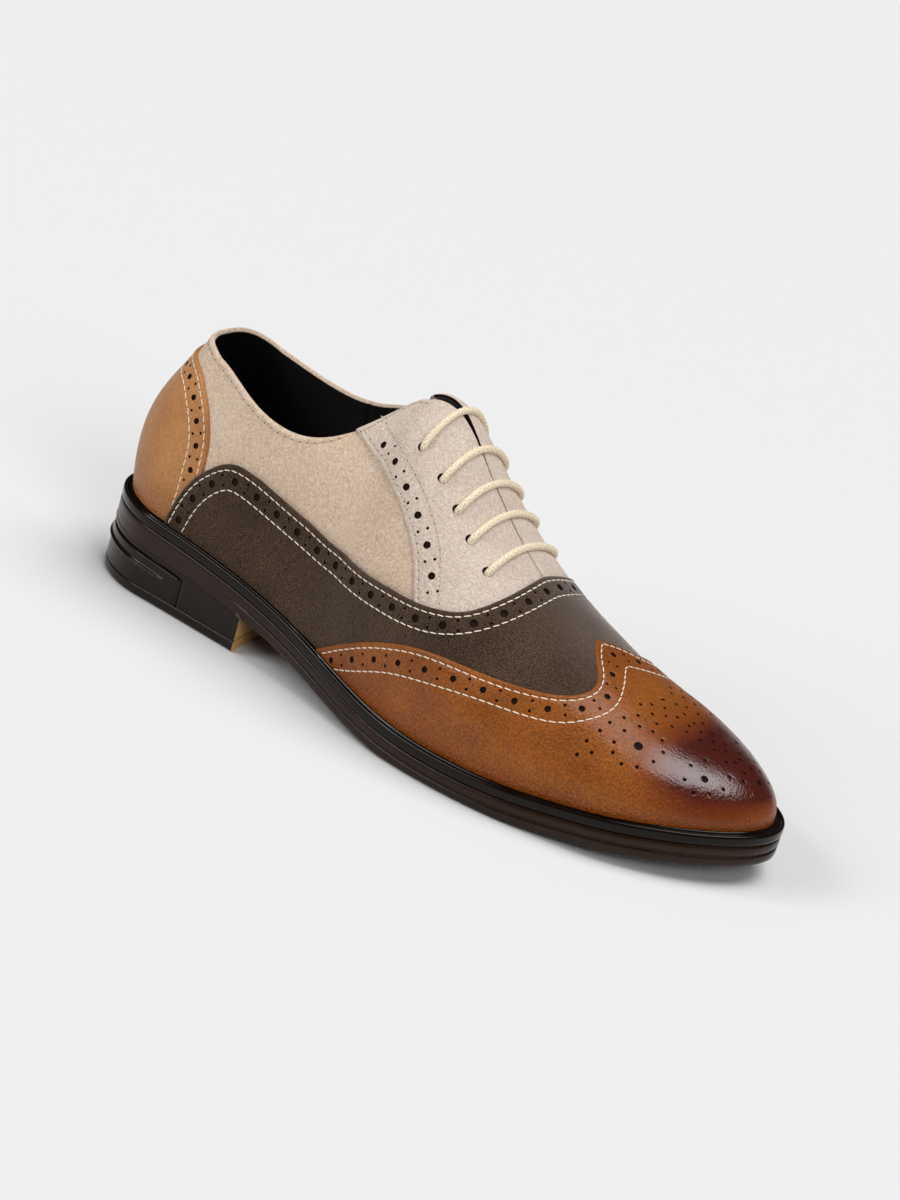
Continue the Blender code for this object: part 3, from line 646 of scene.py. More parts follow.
def painted_hole_shade(name, dark, pale):
    # Painted shade: the walls and floor of each punched hole and a disc at each needle prick, dark with a
    # faint mottle, where the leather lies only in its own shadow
    material, shader = finish(name, Roughness=0.9, Specular_IOR_Level=0.1)
    place = add_node(material, "TexCoord", {}, "Object")
    weave = add_node(material, "TexNoise", {"Vector": place, "Scale": per_metre(0.6), "Detail": 2.0})
    hole_shade_tone = add_node(material, "Mix", {0: weave, MIX_A: tone(dark), MIX_B: tone(pale)}, **COLOUR)
    connect(material, shader, Base_Color=hole_shade_tone)
    return material


def moulded_rubber(name, dark, pale, gloss, mirror):
    # Moulded rubber, dyed black-brown: semi-gloss from the mould, with faint flow marks and dust
    material, shader = finish(name, Specular_IOR_Level=mirror)
    place = add_node(material, "TexCoord", {}, "Object")
    flow = add_node(material, "TexNoise", {
        "Vector": place, "Scale": per_metre(9), "Detail": 6.0, "Roughness": 0.65})
    fine = add_node(material, "TexNoise", {"Vector": place, "Scale": per_metre(0.8), "Detail": 3.0})
    body = add_node(material, "Mix", {0: flow, MIX_A: tone(dark), MIX_B: tone(pale)}, **COLOUR)
    shine = add_node(material, "MapRange", {
        "Value": flow, "From Min": 0.3, "From Max": 0.7, "To Min": gloss - 0.07, "To Max": gloss + 0.1})
    relief = add_node(material, "Bump", {"Height": fine, "Strength": 0.12, "Distance": 0.15 * MM})
    connect(material, shader, Base_Color=body, Roughness=shine, Normal=relief)
    return material


def breast_board():
    # Leatherboard facing of the heel breast: pressed fibres with a thin yellow varnish
    material, shader = finish(
        "varnished leatherboard", Roughness=0.5, Coat_Weight=0.2, Coat_Roughness=0.3)
    place = add_node(material, "TexCoord", {}, "Object")
    fibre = add_node(material, "Mapping", {"Vector": place, "Scale": (1, 1, 5)})
    layer = add_node(material, "TexNoise", {"Vector": fibre, "Scale": per_metre(4), "Detail": 5.0})
    board = add_node(
        material, "Mix", {0: layer, MIX_A: tone("#bd8848"), MIX_B: tone("#ecbe75")}, **COLOUR)
    connect(material, shader, Base_Color=board)
    return material


def spun_thread(name, light, dark):
    # Waxed polyester thread: pale filaments twisted into a round cord
    material, shader = finish(name, Roughness=0.55, Sheen_Weight=0.2)
    place = add_node(material, "TexCoord", {}, "Object")
    twist = add_node(material, "TexNoise", {"Vector": place, "Scale": per_metre(0.7), "Detail": 2.0})
    spun = add_node(material, "Mix", {0: twist, MIX_A: tone(dark), MIX_B: tone(light)}, **COLOUR)
    connect(material, shader, Base_Color=spun)
    return material


def waxed_braid():
    # Round braid of waxed cotton: cream yarn, with painted shade between the strands
    material, shader = finish(
        "waxed cotton braid", Roughness=0.62, Sheen_Weight=0.2, Specular_IOR_Level=0.4)
    place = add_node(material, "TexCoord", {}, "Object")
    strand_shade = add_node(material, "Attribute", {}, "Fac", attribute_name="strand_shade")
    yarn = add_node(material, "TexNoise", {"Vector": place, "Scale": per_metre(0.7), "Detail": 4.0})
    lint = add_node(material, "MapRange", {"Value": yarn, "From Min": 0.3, "From Max": 0.7})
    cotton = add_node(
        material, "Mix", {0: lint, MIX_A: tone("#d2bf9c"), MIX_B: tone("#f1e5cd")}, **COLOUR)
    shaded_cotton = add_node(material, "Mix", {0: strand_shade, MIX_A: cotton, MIX_B: tone("#b09a74")}, **COLOUR)
    relief = add_node(material, "Bump", {"Height": yarn, "Strength": 0.4, "Distance": 0.2 * MM})
    connect(material, shader, Base_Color=shaded_cotton, Normal=relief)
    return material


QUARTER_SUEDE = brushed_suede("beige suede", "#f5dfc8", "#cbae91", "#fff4e4")
FACING_SUEDE = brushed_suede("rose beige suede", "#efdfd0", "#c9b5a5", "#fff2e8")
NUBUCK = nubuck()
WING_CALF = burnished_calf("burnished calf", "#763c0a", "#955313", 0.32)
# Painted light: the counter is the same calf as the wing, given paler tones to stand in for the light that
# falls on it
LIT_COUNTER_CALF = burnished_calf("counter calf, painted lighter", "#9c6735", "#bd8550", 0.16)
LINING = lining_leather()
# Painted shade for the walls and floors of punched holes and for the needle pricks
HOLE_SHADE = painted_hole_shade("painted shade in punched holes", "#0f0a08", "#2a1d17")
PRICK_SHADE = painted_hole_shade("painted shade of needle pricks", "#2e241c", "#5a4838")
SOLE_RUBBER = moulded_rubber("sole rubber", "#180e08", "#2d1c10", 0.24, 0.22)
HEEL_RUBBER = moulded_rubber("heel rubber", "#0e0805", "#1f130b", 0.2, 0.22)
WELT_RUBBER = moulded_rubber("welt rubber", "#080503", "#140d08", 0.13, 0.2)
TREAD_RUBBER = moulded_rubber("tread rubber", "#1c1511", "#2e241d", 0.6, 0.22)
BOARD = breast_board()
WHITE_THREAD = spun_thread("white thread", "#f4ead8", "#c9bca6")
BEIGE_THREAD = spun_thread("beige thread", "#d6c5b0", "#9c8a77")
BRAID = waxed_braid()


# Meshes

SHARP = radians(52)


def add_piece(name, points, faces, materials, nodes=(), kinds=None, marks=None):
    """A finished piece in its place, with a material for each kind of face and marks on its points."""
    mesh = bpy.data.meshes.new(name)
    mesh.from_pydata(((np.asarray(points) - ORIGIN) * MM).tolist(), [], faces)
    for material in materials:
        mesh.materials.append(material)
    if kinds is not None:
        mesh.polygons.foreach_set("material_index", kinds)
    for mark, values in (marks or {}).items():
        mesh.attributes.new(mark, "FLOAT", "POINT").data.foreach_set("value", np.asarray(values, np.float32))
    mesh.shade_smooth()
    mesh.set_sharp_from_angle(angle=SHARP)
    piece = bpy.data.objects.new(name, mesh)
    bpy.context.collection.objects.link(piece)
    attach(piece, "root")
    if nodes:
        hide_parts(*nodes)
    return piece


def strip(first, second):
    return [(a, b, d, c) for a, b, c, d in zip(first[:-1], first[1:], second[:-1], second[1:])]


def band(first, second):
    return strip([*first, first[0]], [*second, second[0]])


def turned_over(faces, start=0):
    """Faces seen from behind, with their points numbered on from a start."""
    return [tuple(start + i for i in reversed(face)) for face in faces]


def ring_numbers(rings):
    size = len(rings[0])
    return [list(range(k * size, (k + 1) * size)) for k in range(len(rings))]


# Flat patterns

Pattern = namedtuple("Pattern", "spread gather mirror")


def spread(side, station, t):
    """Place on the flat pattern of the forepart: the crest is its middle line."""
    rho = (1 - t) * GIRTH
    turn = np.clip((station - TOE_FAN) / TOE_SWEEP, 0, pi / 2)
    return np.stack([np.minimum(station, TOE_FAN) + rho * np.sin(turn), side * rho * np.cos(turn)], -1)


def gather(flat):
    """Side, station and t of a place on the forepart's pattern."""
    ahead = np.maximum(flat[:, 0] - TOE_FAN, 0)
    across = np.abs(flat[:, 1])
    station = np.minimum(flat[:, 0], TOE_FAN) + TOE_SWEEP * np.arctan2(ahead, across + TINY)
    return np.where(flat[:, 1] < 0, LATERAL, MEDIAL), station, 1 - np.hypot(ahead, across) / GIRTH


def spread_heel(side, station, t):
    return np.stack([-side * (station - BACK), t * GIRTH], -1)


def gather_heel(flat):
    return np.where(flat[:, 0] > 0, LATERAL, MEDIAL), BACK + np.abs(flat[:, 0]), flat[:, 1] / GIRTH


FOREPART = Pattern(spread, gather, np.array([1.0, -1.0]))
HEELPART = Pattern(spread_heel, gather_heel, np.array([-1.0, 1.0]))
SMALL = 0.05


def lay(flat, lift=0.0, pattern=FOREPART):
    return skin(*pattern.gather(flat), lift)


def unit(vectors):
    return vectors / np.linalg.norm(vectors, axis=-1, keepdims=True)


def slide(flat, move, pattern):
    """Flat points moved so that their places on the last move by the given vectors."""
    steps = np.array([[SMALL, 0], [0, SMALL]])
    ways = [(lay(flat + s, 0.0, pattern) - lay(flat - s, 0.0, pattern)) / (2 * SMALL) for s in steps]
    way = np.stack(ways, -1)
    pull = np.einsum("nij,ni->nj", way, move)
    grip = np.einsum("nij,nik->njk", way, way)
    return flat + np.linalg.solve(grip, pull[..., None])[..., 0]


def run_length(points):
    return np.concatenate([[0], np.cumsum(np.linalg.norm(np.diff(points, axis=0), axis=1))])


def spots_at(at, length, curve):
    """Points of a curve at places given by its running length."""
    return np.stack([np.interp(at, length, column) for column in curve.T], -1)


def pace(curve, step, pattern):
    """Flat points spaced evenly in true millimetres along a curve."""
    length = run_length(lay(curve, 0.0, pattern))
    at = np.linspace(0, length[-1], max(2, int(round(length[-1] / step)) + 1))
    return spots_at(at, length, curve)


def smooth_curve(points, step):
    chord = run_length(points)
    at = np.linspace(0, chord[-1], max(2, int(round(chord[-1] / step)) + 1))
    return np.stack([spline(chord, column, at, flat=False) for column in points.T], -1)


CURVE_STEP = 0.5
RIM_STEP = 0.25


def lateral_edge(rows, pattern=FOREPART, step=1.0):
    """A table's edge on the lateral side, evenly paced."""
    points = pattern.spread(LATERAL, rows["station"], rows["t"])
    return pace(smooth_curve(points, CURVE_STEP), step, pattern)


INSET_STEP = 1.2


def inset(curve, distance, pattern=FOREPART):
    """A curve moved across the leather to the left of its run, in small true steps."""
    steps = max(1, int(np.ceil(abs(distance) / INSET_STEP)))
    for _ in range(steps):
        ground = lay(curve, 0.0, pattern)
        across = np.cross(lay(curve, 1.0, pattern) - ground, np.gradient(ground, axis=0))
        curve = slide(curve, unit(across) * distance / steps, pattern)
    return curve


def ironed(curve, reach):
    """A curve with its small waves taken out."""
    head = 2 * curve[0] - curve[reach:0:-1]
    tail = 2 * curve[-1] - curve[-2:-reach - 2:-1]
    weights = np.hanning(2 * reach + 3)[1:-1]
    weights /= weights.sum()
    run = np.concatenate([head, curve, tail])
    return np.stack([np.convolve(column, weights, "valid") for column in run.T], -1)


def lateral_part(curve, pattern=FOREPART):
    """The stretch of a curve that stays on the lateral side and above the welt."""
    side, _, t = pattern.gather(curve)
    return curve[(side == LATERAL) & (t > FEATHER) & (t < 1)]


def both_sides(curve, pattern=FOREPART):
    """A lateral curve that runs up to the mirror line, then its mirror image back down."""
    return np.concatenate([curve, (curve * pattern.mirror)[::-1]])


def rim_line(curve, pattern=FOREPART, step=RIM_STEP):
    """Close points along a lateral edge and its mirror image, in place on the last."""
    return lay(both_sides(pace(curve, step, pattern), pattern), 0.0, pattern)


def away_from(points, curve):
    """Distance of each point from a closely spaced curve."""
    tree = KDTree(len(curve))
    for i, place in enumerate(curve):
        tree.insert(place, i)
    tree.balance()
    return np.array([tree.find(place)[2] for place in points])


POINTS_AT_ONCE = 2000


def inside(points, outline):
    """Which points lie inside a closed outline."""
    x, y = points.T[:, :, None]
    (x0, y0), (x1, y1) = outline.T[:, None], np.roll(outline, -1, axis=0).T[:, None]
    rising = np.where(y1 == y0, TINY, y1 - y0)
    hits = np.zeros(len(points), int)
    for chunk in np.array_split(np.arange(len(points)), max(1, len(points) // POINTS_AT_ONCE)):
        cross = ((y0 > y[chunk]) != (y1 > y[chunk])) & (x[chunk] < (x1 - x0) * (y[chunk] - y0) / rising + x0)
        hits[chunk] = cross.sum(1)
    return hits % 2 == 1


# Corners of a punched hole's ring, and a direction that no leather faces where it is punched
LARGE_SIDES = 14
SMALL_SIDES = 8
ASLANT = 0.3, 1.0, 0.2


def hole_loops(holes, extra, pattern):
    """Round rings about the holes, true circles on the last."""
    rings = []
    for middle, radius in holes:
        count = LARGE_SIDES if radius > 1 else SMALL_SIDES
        turn = np.linspace(0, 2 * pi, count, endpoint=False)[:, None]
        centre = np.repeat(middle[None], count, axis=0)
        ground = lay(centre, 0.0, pattern)
        normal = lay(centre, 1.0, pattern) - ground
        first = unit(np.cross(normal, ASLANT))
        ring = np.cos(turn) * first + np.sin(turn) * np.cross(normal, first)
        rings.append(slide(centre, ring * (radius + extra), pattern))
    return rings


ROW_CLEAR = 0.27
GRID_CLEAR = 0.6
# Pitch of the mesh that fills a leather
UNDER_PITCH = 7.0
WING_MESH = 1.15
COUNTER_MESH = 1.3
SUEDE_MESH = 1.4
VAMP_MESH = 1.4


def counter_clockwise(outline):
    after = np.roll(outline, -1, axis=0)
    area = np.sum(outline[:, 0] * after[:, 1] - outline[:, 1] * after[:, 0])
    return outline if area > 0 else outline[::-1]


def cut(outline, loops, collars, rows, pitch, pattern):
    """Triangles of a leather: outline and hole loops are kept as edges, rows and an even grid fill it."""
    fixed = [outline, *loops]
    kept = np.concatenate([*fixed, *collars])
    if rows:
        more = np.concatenate(rows)
        more = more[inside(more, outline)]
        place = lay(more, 0.0, pattern)
        _, single = np.unique(np.round(place / ROW_CLEAR), axis=0, return_index=True)
        single.sort()
        more, place = more[single], place[single]
        kept = np.concatenate([kept, more[away_from(place, lay(kept, 0.0, pattern)) > ROW_CLEAR]])
    low, high = outline.min(0), outline.max(0)
    columns = np.arange(low[0], high[0], pitch)
    levels = np.arange(np.floor(low[1] / pitch), high[1] / pitch) * pitch
    grid = np.stack(np.meshgrid(columns, levels), -1)
    grid[1::2, :, 0] += pitch / 2
    grid = grid.reshape(-1, 2)
    grid = grid[inside(grid, outline)]
    free = away_from(lay(grid, 0.0, pattern), lay(kept, 0.0, pattern)) > pitch * GRID_CLEAR
    flat = np.concatenate([kept, grid[free]])
    owner = np.full(len(flat), -1)
    links = []
    start = 0
    for k, loop in enumerate(fixed):
        index = np.arange(start, start + len(loop))
        owner[index] = k
        links += zip(index.tolist(), np.roll(index, -1).tolist())
        start += len(loop)
    for loop, k in zip(loops, range(1, len(fixed))):
        owner[(owner == -1) & inside(flat, loop)] = k
    _, _, faces, source, *_ = delaunay_2d_cdt([Vector(p) for p in flat], links, [], CUT_INSIDE, CUT_NEAR)
    kept_faces = []
    for face in faces:
        face = tuple(source[i][0] for i in face)
        owners = {int(owner[i]) for i in face}
        if len(owners) > 1 or owners <= {-1, 0}:
            kept_faces.append(face)
    return flat, kept_faces


def add_leather(name, outline, lift, materials, nodes, holes, rows, pitch, marks=None,
                pattern=FOREPART, painted_shade_wall=None):
    """A cut sheet laid on the last: punched top, closed edge and plain underside."""
    outline = counter_clockwise(outline)
    loops = hole_loops(holes, 0, pattern)
    collars = hole_loops(holes, HOLE_COLLAR, pattern)
    flat, top = cut(outline, loops, collars, list(rows), pitch, pattern)
    base, under = cut(outline, [], [], [], UNDER_PITCH, pattern)
    ground = lay(flat, 0.0, pattern)
    rise = lift(flat, ground)
    size = len(outline)
    first = size
    sunk = []
    for loop in loops:
        index = np.arange(first, first + len(loop))
        rise[index] -= HOLE_DIP
        sunk.append(index)
        first += len(loop)
    base_lift = np.full(len(base), rise[:size].min() - SHEET_DEPTH)
    base_lift[:size] = rise[:size] - SHEET_DEPTH
    points = [lay(flat, rise, pattern), lay(base, base_lift, pattern)]
    count = len(flat)
    faces = list(top)
    kinds = [0] * len(top)
    faces += turned_over(under, count)
    border = list(range(size))
    faces += turned_over(band(border, [count + i for i in border]))
    # Border walls picked by the last argument take the second material, the painted shade
    walls = np.zeros(size, int) if painted_shade_wall is None else painted_shade_wall(outline).astype(int)
    kinds += [0] * len(under) + walls.tolist()
    count += len(base)
    # Each hole's walls and floor take the second material, the painted shade
    for index in sunk:
        points.append(lay(flat[index], rise[index] - HOLE_DEPTH, pattern))
        floor = list(range(count, count + len(index)))
        faces += band(index.tolist(), floor)
        faces.append(tuple(floor))
        kinds += [1] * (len(index) + 1)
        count += len(index)
    values = {}
    for mark, value in (marks or {}).items():
        values[mark] = np.zeros(count)
        values[mark][:len(flat)] = value(flat, ground)
        values[mark][len(flat):len(flat) + size] = values[mark][:size]
    return add_piece(name, np.concatenate(points), faces, materials, nodes, kinds, values)


def turned_edge(away, rows=(FIRST_ROW, SECOND_ROW), soft=1.0):
    """Relief across a folded edge: rounded rim, soft bead, and leather pulled down along each stitch row."""
    rim = RIM_DROP * np.clip(1 - away / RIM_WIDE, 0, 1) ** 2
    pull = PULL * sum((bell(away, row, PULL_WIDE) for row in rows), np.zeros_like(away))
    return soft * (BEAD * bell(away, BEAD_AT, BEAD_WIDE) - rim) - pull


def edge_rows(curve, sign, pattern=FOREPART, distances=EDGE_ROWS):
    """Lines of mesh points that follow a lateral edge, and their mirror images."""
    lines = [lateral_part(inset(curve, sign * d, pattern), pattern) for d in distances]
    return lines + [line * pattern.mirror for line in lines]


def brogue_row(row, start, pitch, radius, pattern=FOREPART):
    """Punching along a row: large holes at an even pitch, and a pair of small ones between each two."""
    length = run_length(lay(row, 0.0, pattern))
    at = np.arange(start, length[-1] - 2 * radius, pitch / 2)
    spots = spots_at(at, length, row)
    left, right = inset(spots, PAIR_SPREAD, pattern), inset(spots, -PAIR_SPREAD, pattern)
    holes = [(spot, radius) for spot in spots[::2]]
    for a, b in zip(left[1::2], right[1::2]):
        holes += [(a, SMALL_HOLE), (b, SMALL_HOLE)]
    return holes


def mirrored(holes, pattern=FOREPART):
    """Holes of the lateral side and of the medial side; one on the mirror line stays single."""
    twins = [(spot * pattern.mirror, radius) for spot, radius in holes]
    apart = [np.abs(twin - spot).max() for (twin, _), (spot, _) in zip(twins, holes)]
    return holes + [twin for twin, gap in zip(twins, apart) if gap > twin[1]]


# Stitches

stitches = {"white": [], "beige": []}
STITCH_RINGS = np.array([(-1, 0), (-0.92, 0.6), (-0.6, 0.95), (0, 1), (0.6, 0.95), (0.92, 0.6), (1, 0)])
STITCH_SIDES = 6
STITCH_SLANT = 0.1
STITCH_BOW = 0.14
STITCH_FLAT = 0.8
NEEDLE_SIDES = 7
NEEDLE_PROUD = 0.15
NEEDLE_MOUTH = 0.75


def sew(row, lift, thread, pattern=FOREPART):
    """Stitches along a row on the leather's surface, each a little aslant."""
    length = run_length(lay(row, 0.0, pattern))
    if np.ndim(lift) == 0:
        lift = np.full(len(row), lift)
    count = int(length[-1] / STITCH_PITCH)
    start = (np.arange(count) + 0.5) * length[-1] / count - STITCH_LENGTH / 2
    ends = []
    for at in (start, start + STITCH_LENGTH):
        spot = spots_at(at, length, row)
        ends.append(lay(spot, np.interp(at, length, lift), pattern))
    normal = unit(lay(spot, 1.0, pattern) - lay(spot, 0.0, pattern))
    a, b = ends
    across = unit(np.cross(normal, b - a)) * STITCH_SLANT
    stitches[thread].append((a + across, b - across, normal))


def add_stitches(name, thread, material):
    """All stitches of one thread as one mesh of slender capsules."""
    a, b, normal = (np.concatenate(part) for part in zip(*stitches[thread]))
    way = (b - a) / 2
    side = unit(np.cross(normal, way))
    along, thick = STITCH_RINGS.T
    turn = np.linspace(0, 2 * pi, STITCH_SIDES, endpoint=False)
    ring = (a + b)[:, None, None] / 2 + way[:, None, None] * along[:, None, None]
    bow = STITCH_BOW * (1 - along ** 2)[:, None] + STITCH_WIDE * STITCH_FLAT * thick[:, None] * np.sin(turn)
    wide = STITCH_WIDE * thick[:, None] * np.cos(turn)
    points = ring + normal[:, None, None] * bow[..., None] + side[:, None, None] * wide[..., None]
    rings, sides = len(along), STITCH_SIDES
    index = np.arange(rings * sides).reshape(rings, sides)
    pattern = []
    for low, high in zip(index[1:-2].tolist(), index[2:-1].tolist()):
        pattern += band(low, high)
    tips = [(index[0, 0], *pair) for pair in zip(np.roll(index[1], -1).tolist(), index[1].tolist())]
    tips += [(index[-1, 0], *pair) for pair in zip(index[-2].tolist(), np.roll(index[-2], -1).tolist())]
    pattern += turned_over(tips)
    used = np.unique([i for face in pattern for i in face])
    number = dict(zip(used.tolist(), range(len(used))))
    points = points.reshape(len(a), rings * sides, 3)[:, used].reshape(-1, 3)
    faces = [tuple(k * len(used) + number[i] for i in face) for k in range(len(a)) for face in pattern]
    return add_piece(name, points, faces, [material])


def add_needle_prick_shade(name, thread):
    """Painted shade of the needle's pricks: dark discs between the stitches of one thread."""
    a, b, normal = (np.concatenate(part) for part in zip(*stitches[thread]))
    way = unit(b - a)
    side = np.cross(normal, way)
    turn = np.linspace(0, 2 * pi, NEEDLE_SIDES, endpoint=False)
    middle = a - way * NEEDLE_HOLE + normal * NEEDLE_PROUD
    rim = np.cos(turn)[:, None] * way[:, None] + np.sin(turn)[:, None] * side[:, None]
    mouth = rim * NEEDLE_MOUTH * NEEDLE_HOLE
    rings = np.stack([middle[:, None] + rim * NEEDLE_HOLE, middle[:, None] + mouth], 1)
    rings[:, 0] -= normal[:, None] * NEEDLE_PROUD
    points = rings.reshape(-1, 3)
    faces = []
    for k in range(len(a)):
        low = list(range(2 * k * NEEDLE_SIDES, (2 * k + 1) * NEEDLE_SIDES))
        high = [i + NEEDLE_SIDES for i in low]
        faces += band(low, high)
        faces.append(tuple(high))
    return add_piece(name, points, faces, [PRICK_SHADE])


# Creases, placed low on the cap's flank: station at the foot and at the top, t range, depth and width
CREASES = table(
    "foot head low high depth wide",
    (224, 219, 0.05, 0.38, 0.3, 1.2),
    (229, 226, 0.10, 0.42, 0.22, 0.9),
    (236, 232, 0.04, 0.32, 0.28, 1.1),
    (243, 240, 0.06, 0.28, 0.18, 0.9),
    (212, 205, 0.10, 0.34, 0.26, 1.4),
    (203, 196, 0.04, 0.24, 0.2, 1.3),
)
CREASE_RIDGE = 0.6
CREASE_RIDGE_AWAY = 1.6


def creases(station, t):
    """Soft troughs, each with a low ridge beside it, fading out at both ends."""
    depth = np.zeros_like(t)
    for foot_at, head, low, high, deep, wide in zip(*CREASES.values()):
        level = np.clip((t - low) / (high - low), 0, 1)
        fade = np.sin(pi * level)
        away = station - (foot_at + (head - foot_at) * level)
        ridge = CREASE_RIDGE * bell(away, CREASE_RIDGE_AWAY * wide, wide)
        depth += deep * fade * (ridge - bell(away, 0, wide))
    return depth


# Upper

def shell_faces(stations, rows):
    """Index of a two-sided grid on the last, sewn together at the heel, the toe and the closed crest."""
    columns = len(stations)
    lateral = np.arange(columns * rows).reshape(columns, rows)
    lateral[stations >= TOE_FAN, -1] = lateral[-1, -1]
    medial = lateral + columns * rows
    medial[[0, -1]] = lateral[[0, -1]]
    medial[stations >= SLIT_END, -1] = lateral[stations >= SLIT_END, -1]
    faces = []
    for half, flip in ((lateral, 1), (medial, -1)):
        for first, second in zip(half.tolist(), half[1:].tolist()):
            for quad in strip(first, second):
                quad = tuple(dict.fromkeys(quad))
                faces.append(quad[::-flip])
    return faces


# Mesh of the quarters: stations of its columns, rows up the wall, and depths of the rows at its top
FLANK_STATIONS = np.arange(36, 189, 2.2)
COVERED_STATIONS = np.arange(192, TOE_FAN, 6.0)
HEEL_COLUMNS = 26
TOE_COLUMNS = 14
WALL_ROWS = 26
GIRTH_POINTS = 30
TOP_LEVELS = np.array([0, 0.25, 0.55, 0.95, 1.4, 1.8, 2.2, 2.6, 3.1, 3.9, 4.8, 6.2, 8.0])
TOPLINE_RUN = np.concatenate([np.linspace(BACK, HEEL_FAN, 40), np.arange(36, 100, 1.0)])
# Lining's side seam, and the lip that closes the wall at its top
SEAM_STATION = 76.0
SEAM_STEP = 0.8
SEAM_HIGH = 0.6
SEAM_WIDE = 0.7
SOFT_FOLD = 0.6
LINING_ROLL = 0.35
LIP = 0.55
LIP_OUTER = 0.55
LIP_FADE = 4.0
LIP_LEVEL = 0.5
UP_STEP = 0.004
SLIT_SHADE = 3.0
BINDING = 0.4


def add_quarters():
    """Suede quarters with a turned topline over a black lining, one wall all round the foot."""
    seam = SEAM_STATION + np.array([-SEAM_STEP, 0, SEAM_STEP])
    stations = np.concatenate([
        np.linspace(BACK, HEEL_FAN, HEEL_COLUMNS),
        np.unique(np.concatenate([FLANK_STATIONS, seam, [SLIT_END]])),
        COVERED_STATIONS,
        np.linspace(TOE_FAN, TIP, TOE_COLUMNS),
    ])
    section = last(LATERAL, stations[:, None], np.linspace(0, 1, GIRTH_POINTS))
    girth = np.linalg.norm(np.diff(section, axis=1), axis=2).sum(1)
    fine = 1 - TOP_LEVELS[::-1] / girth[:, None]
    coarse = np.linspace(0, 1, WALL_ROWS)[None, :-1] * fine[:, :1]
    level = np.concatenate([coarse, fine], axis=1)
    columns, rows = level.shape
    depth = np.tile(((1 - level) * girth[:, None]).ravel(), 2)
    side = np.repeat((LATERAL, MEDIAL), columns * rows)
    station = np.tile(np.repeat(stations, rows), 2)
    tops = [top_edge(half, stations)[:, None] for half in (LATERAL, MEDIAL)]
    height = np.concatenate([(FEATHER + (top - FEATHER) * level).ravel() for top in tops])
    pad = throat_pad(station, height)
    outside = QUARTER_LIFT + turned_edge(depth, (TOPLINE_ROW,), SOFT_FOLD) + pad
    within = LINING_LIFT + LINING_ROLL * np.clip(1 - depth / RIM_WIDE, 0, 1) ** 2 + pad
    within += SEAM_HIGH * bell(station, SEAM_STATION, SEAM_WIDE)
    skins = [skin(side, station, height, lifts) for lifts in (outside, within)]
    count = len(side)
    sheet = shell_faces(stations, rows)
    border = {}
    for face in sheet:
        for a, b in zip(face, face[1:] + face[:1]):
            key = min(a, b), max(a, b)
            border[key] = None if key in border else (a, b)
    border = [pair for pair in border.values() if pair]
    faces = list(sheet) + turned_over(sheet, count)
    # Painted shade in the slit: near the throat, outer faces close to the suede's edge and the lips that
    # close the wall take the black lining
    by_throat = station > THROAT - LIP_FADE
    bare = (depth > BINDING) | by_throat
    shaded = (depth < SLIT_SHADE) & by_throat
    kinds = [int(all(dark[list(face)])) for dark in (shaded, bare) for face in sheet]
    lip_of = {}
    up = last(side, station, height) - last(side, station, height - UP_STEP)
    lips = []
    for pair in border:
        for i in pair:
            if i not in lip_of:
                lip_of[i] = 2 * count + len(lips)
                bulge = LIP if height[i] > LIP_LEVEL and not by_throat[i] else 0
                between = skins[0][i] * LIP_OUTER + skins[1][i] * (1 - LIP_OUTER)
                lips.append(between + unit(up[i]) * bulge)
    for a, b in border:
        faces += [(b, a, lip_of[a], lip_of[b]), (lip_of[b], lip_of[a], count + a, count + b)]
        kinds += [int(by_throat[a])] * 2
    points = np.concatenate([*skins, np.array(lips)])
    used = np.unique(np.concatenate([np.array(face) for face in faces]))
    number = np.full(len(points), -1)
    number[used] = np.arange(len(used))
    faces = [tuple(number[list(face)].tolist()) for face in faces]
    add_piece("quarters", points[used], faces, [QUARTER_SUEDE, LINING], ["upper"], kinds)
    drop = TOPLINE_ROW / np.interp(TOPLINE_RUN, stations, girth)
    for half in (LATERAL, MEDIAL):
        row = HEELPART.spread(half, TOPLINE_RUN, top_edge(half, TOPLINE_RUN) - drop)
        sew(row, QUARTER_LIFT - PULL, "beige", HEELPART)


TONGUE_START = 123.5
TONGUE_END = 193.0
TONGUE_EDGE = 0.6
TONGUE_RIM = 0.04
TONGUE_ROUND = 0.6
TONGUE_INNER = 1.4
TONGUE_COLUMNS = 60
TONGUE_ROWS = 20
TONGUE_DROP = table("station lift", (TONGUE_START, -7.3), (178, -7.3), (189, -3.7), (TONGUE_END, -3.7))


def add_tongue():
    """Black tongue under the throat, with rounded sides."""
    stations = np.linspace(TONGUE_START, TONGUE_END, TONGUE_COLUMNS)
    half = np.linspace(TONGUE_EDGE, 1, TONGUE_ROWS)
    across = np.concatenate([half, half[-2::-1]])
    side = np.where(np.arange(len(across)) < len(half), LATERAL, MEDIAL)
    rows = len(across)
    spots = np.tile(side, len(stations)), np.repeat(stations, rows), np.tile(across, len(stations))
    outer = np.interp(spots[1], TONGUE_DROP["station"], TONGUE_DROP["lift"])
    rim = np.minimum(spots[2] - TONGUE_EDGE, TONGUE_RIM) / TONGUE_RIM
    swell = TONGUE_ROUND * np.sqrt(rim)
    skins = [skin(*spots, outer - TONGUE_ROUND + swell), skin(*spots, outer - TONGUE_INNER - swell)]
    index = np.arange(len(stations) * rows).reshape(len(stations), rows)
    count = index.size
    sheet = [face for a, b in zip(index.tolist(), index[1:].tolist()) for face in strip(a, b)]
    faces = turned_over(sheet) + [tuple(count + i for i in face) for face in sheet]
    loop = [*index[:, 0], *index[-1, 1:], *index[-2::-1, -1], *index[0, -2:0:-1]]
    faces += band([int(i) for i in loop], [int(i) + count for i in loop])
    add_piece("tongue_sheet", np.concatenate(skins), faces, [LINING], ["tongue"])


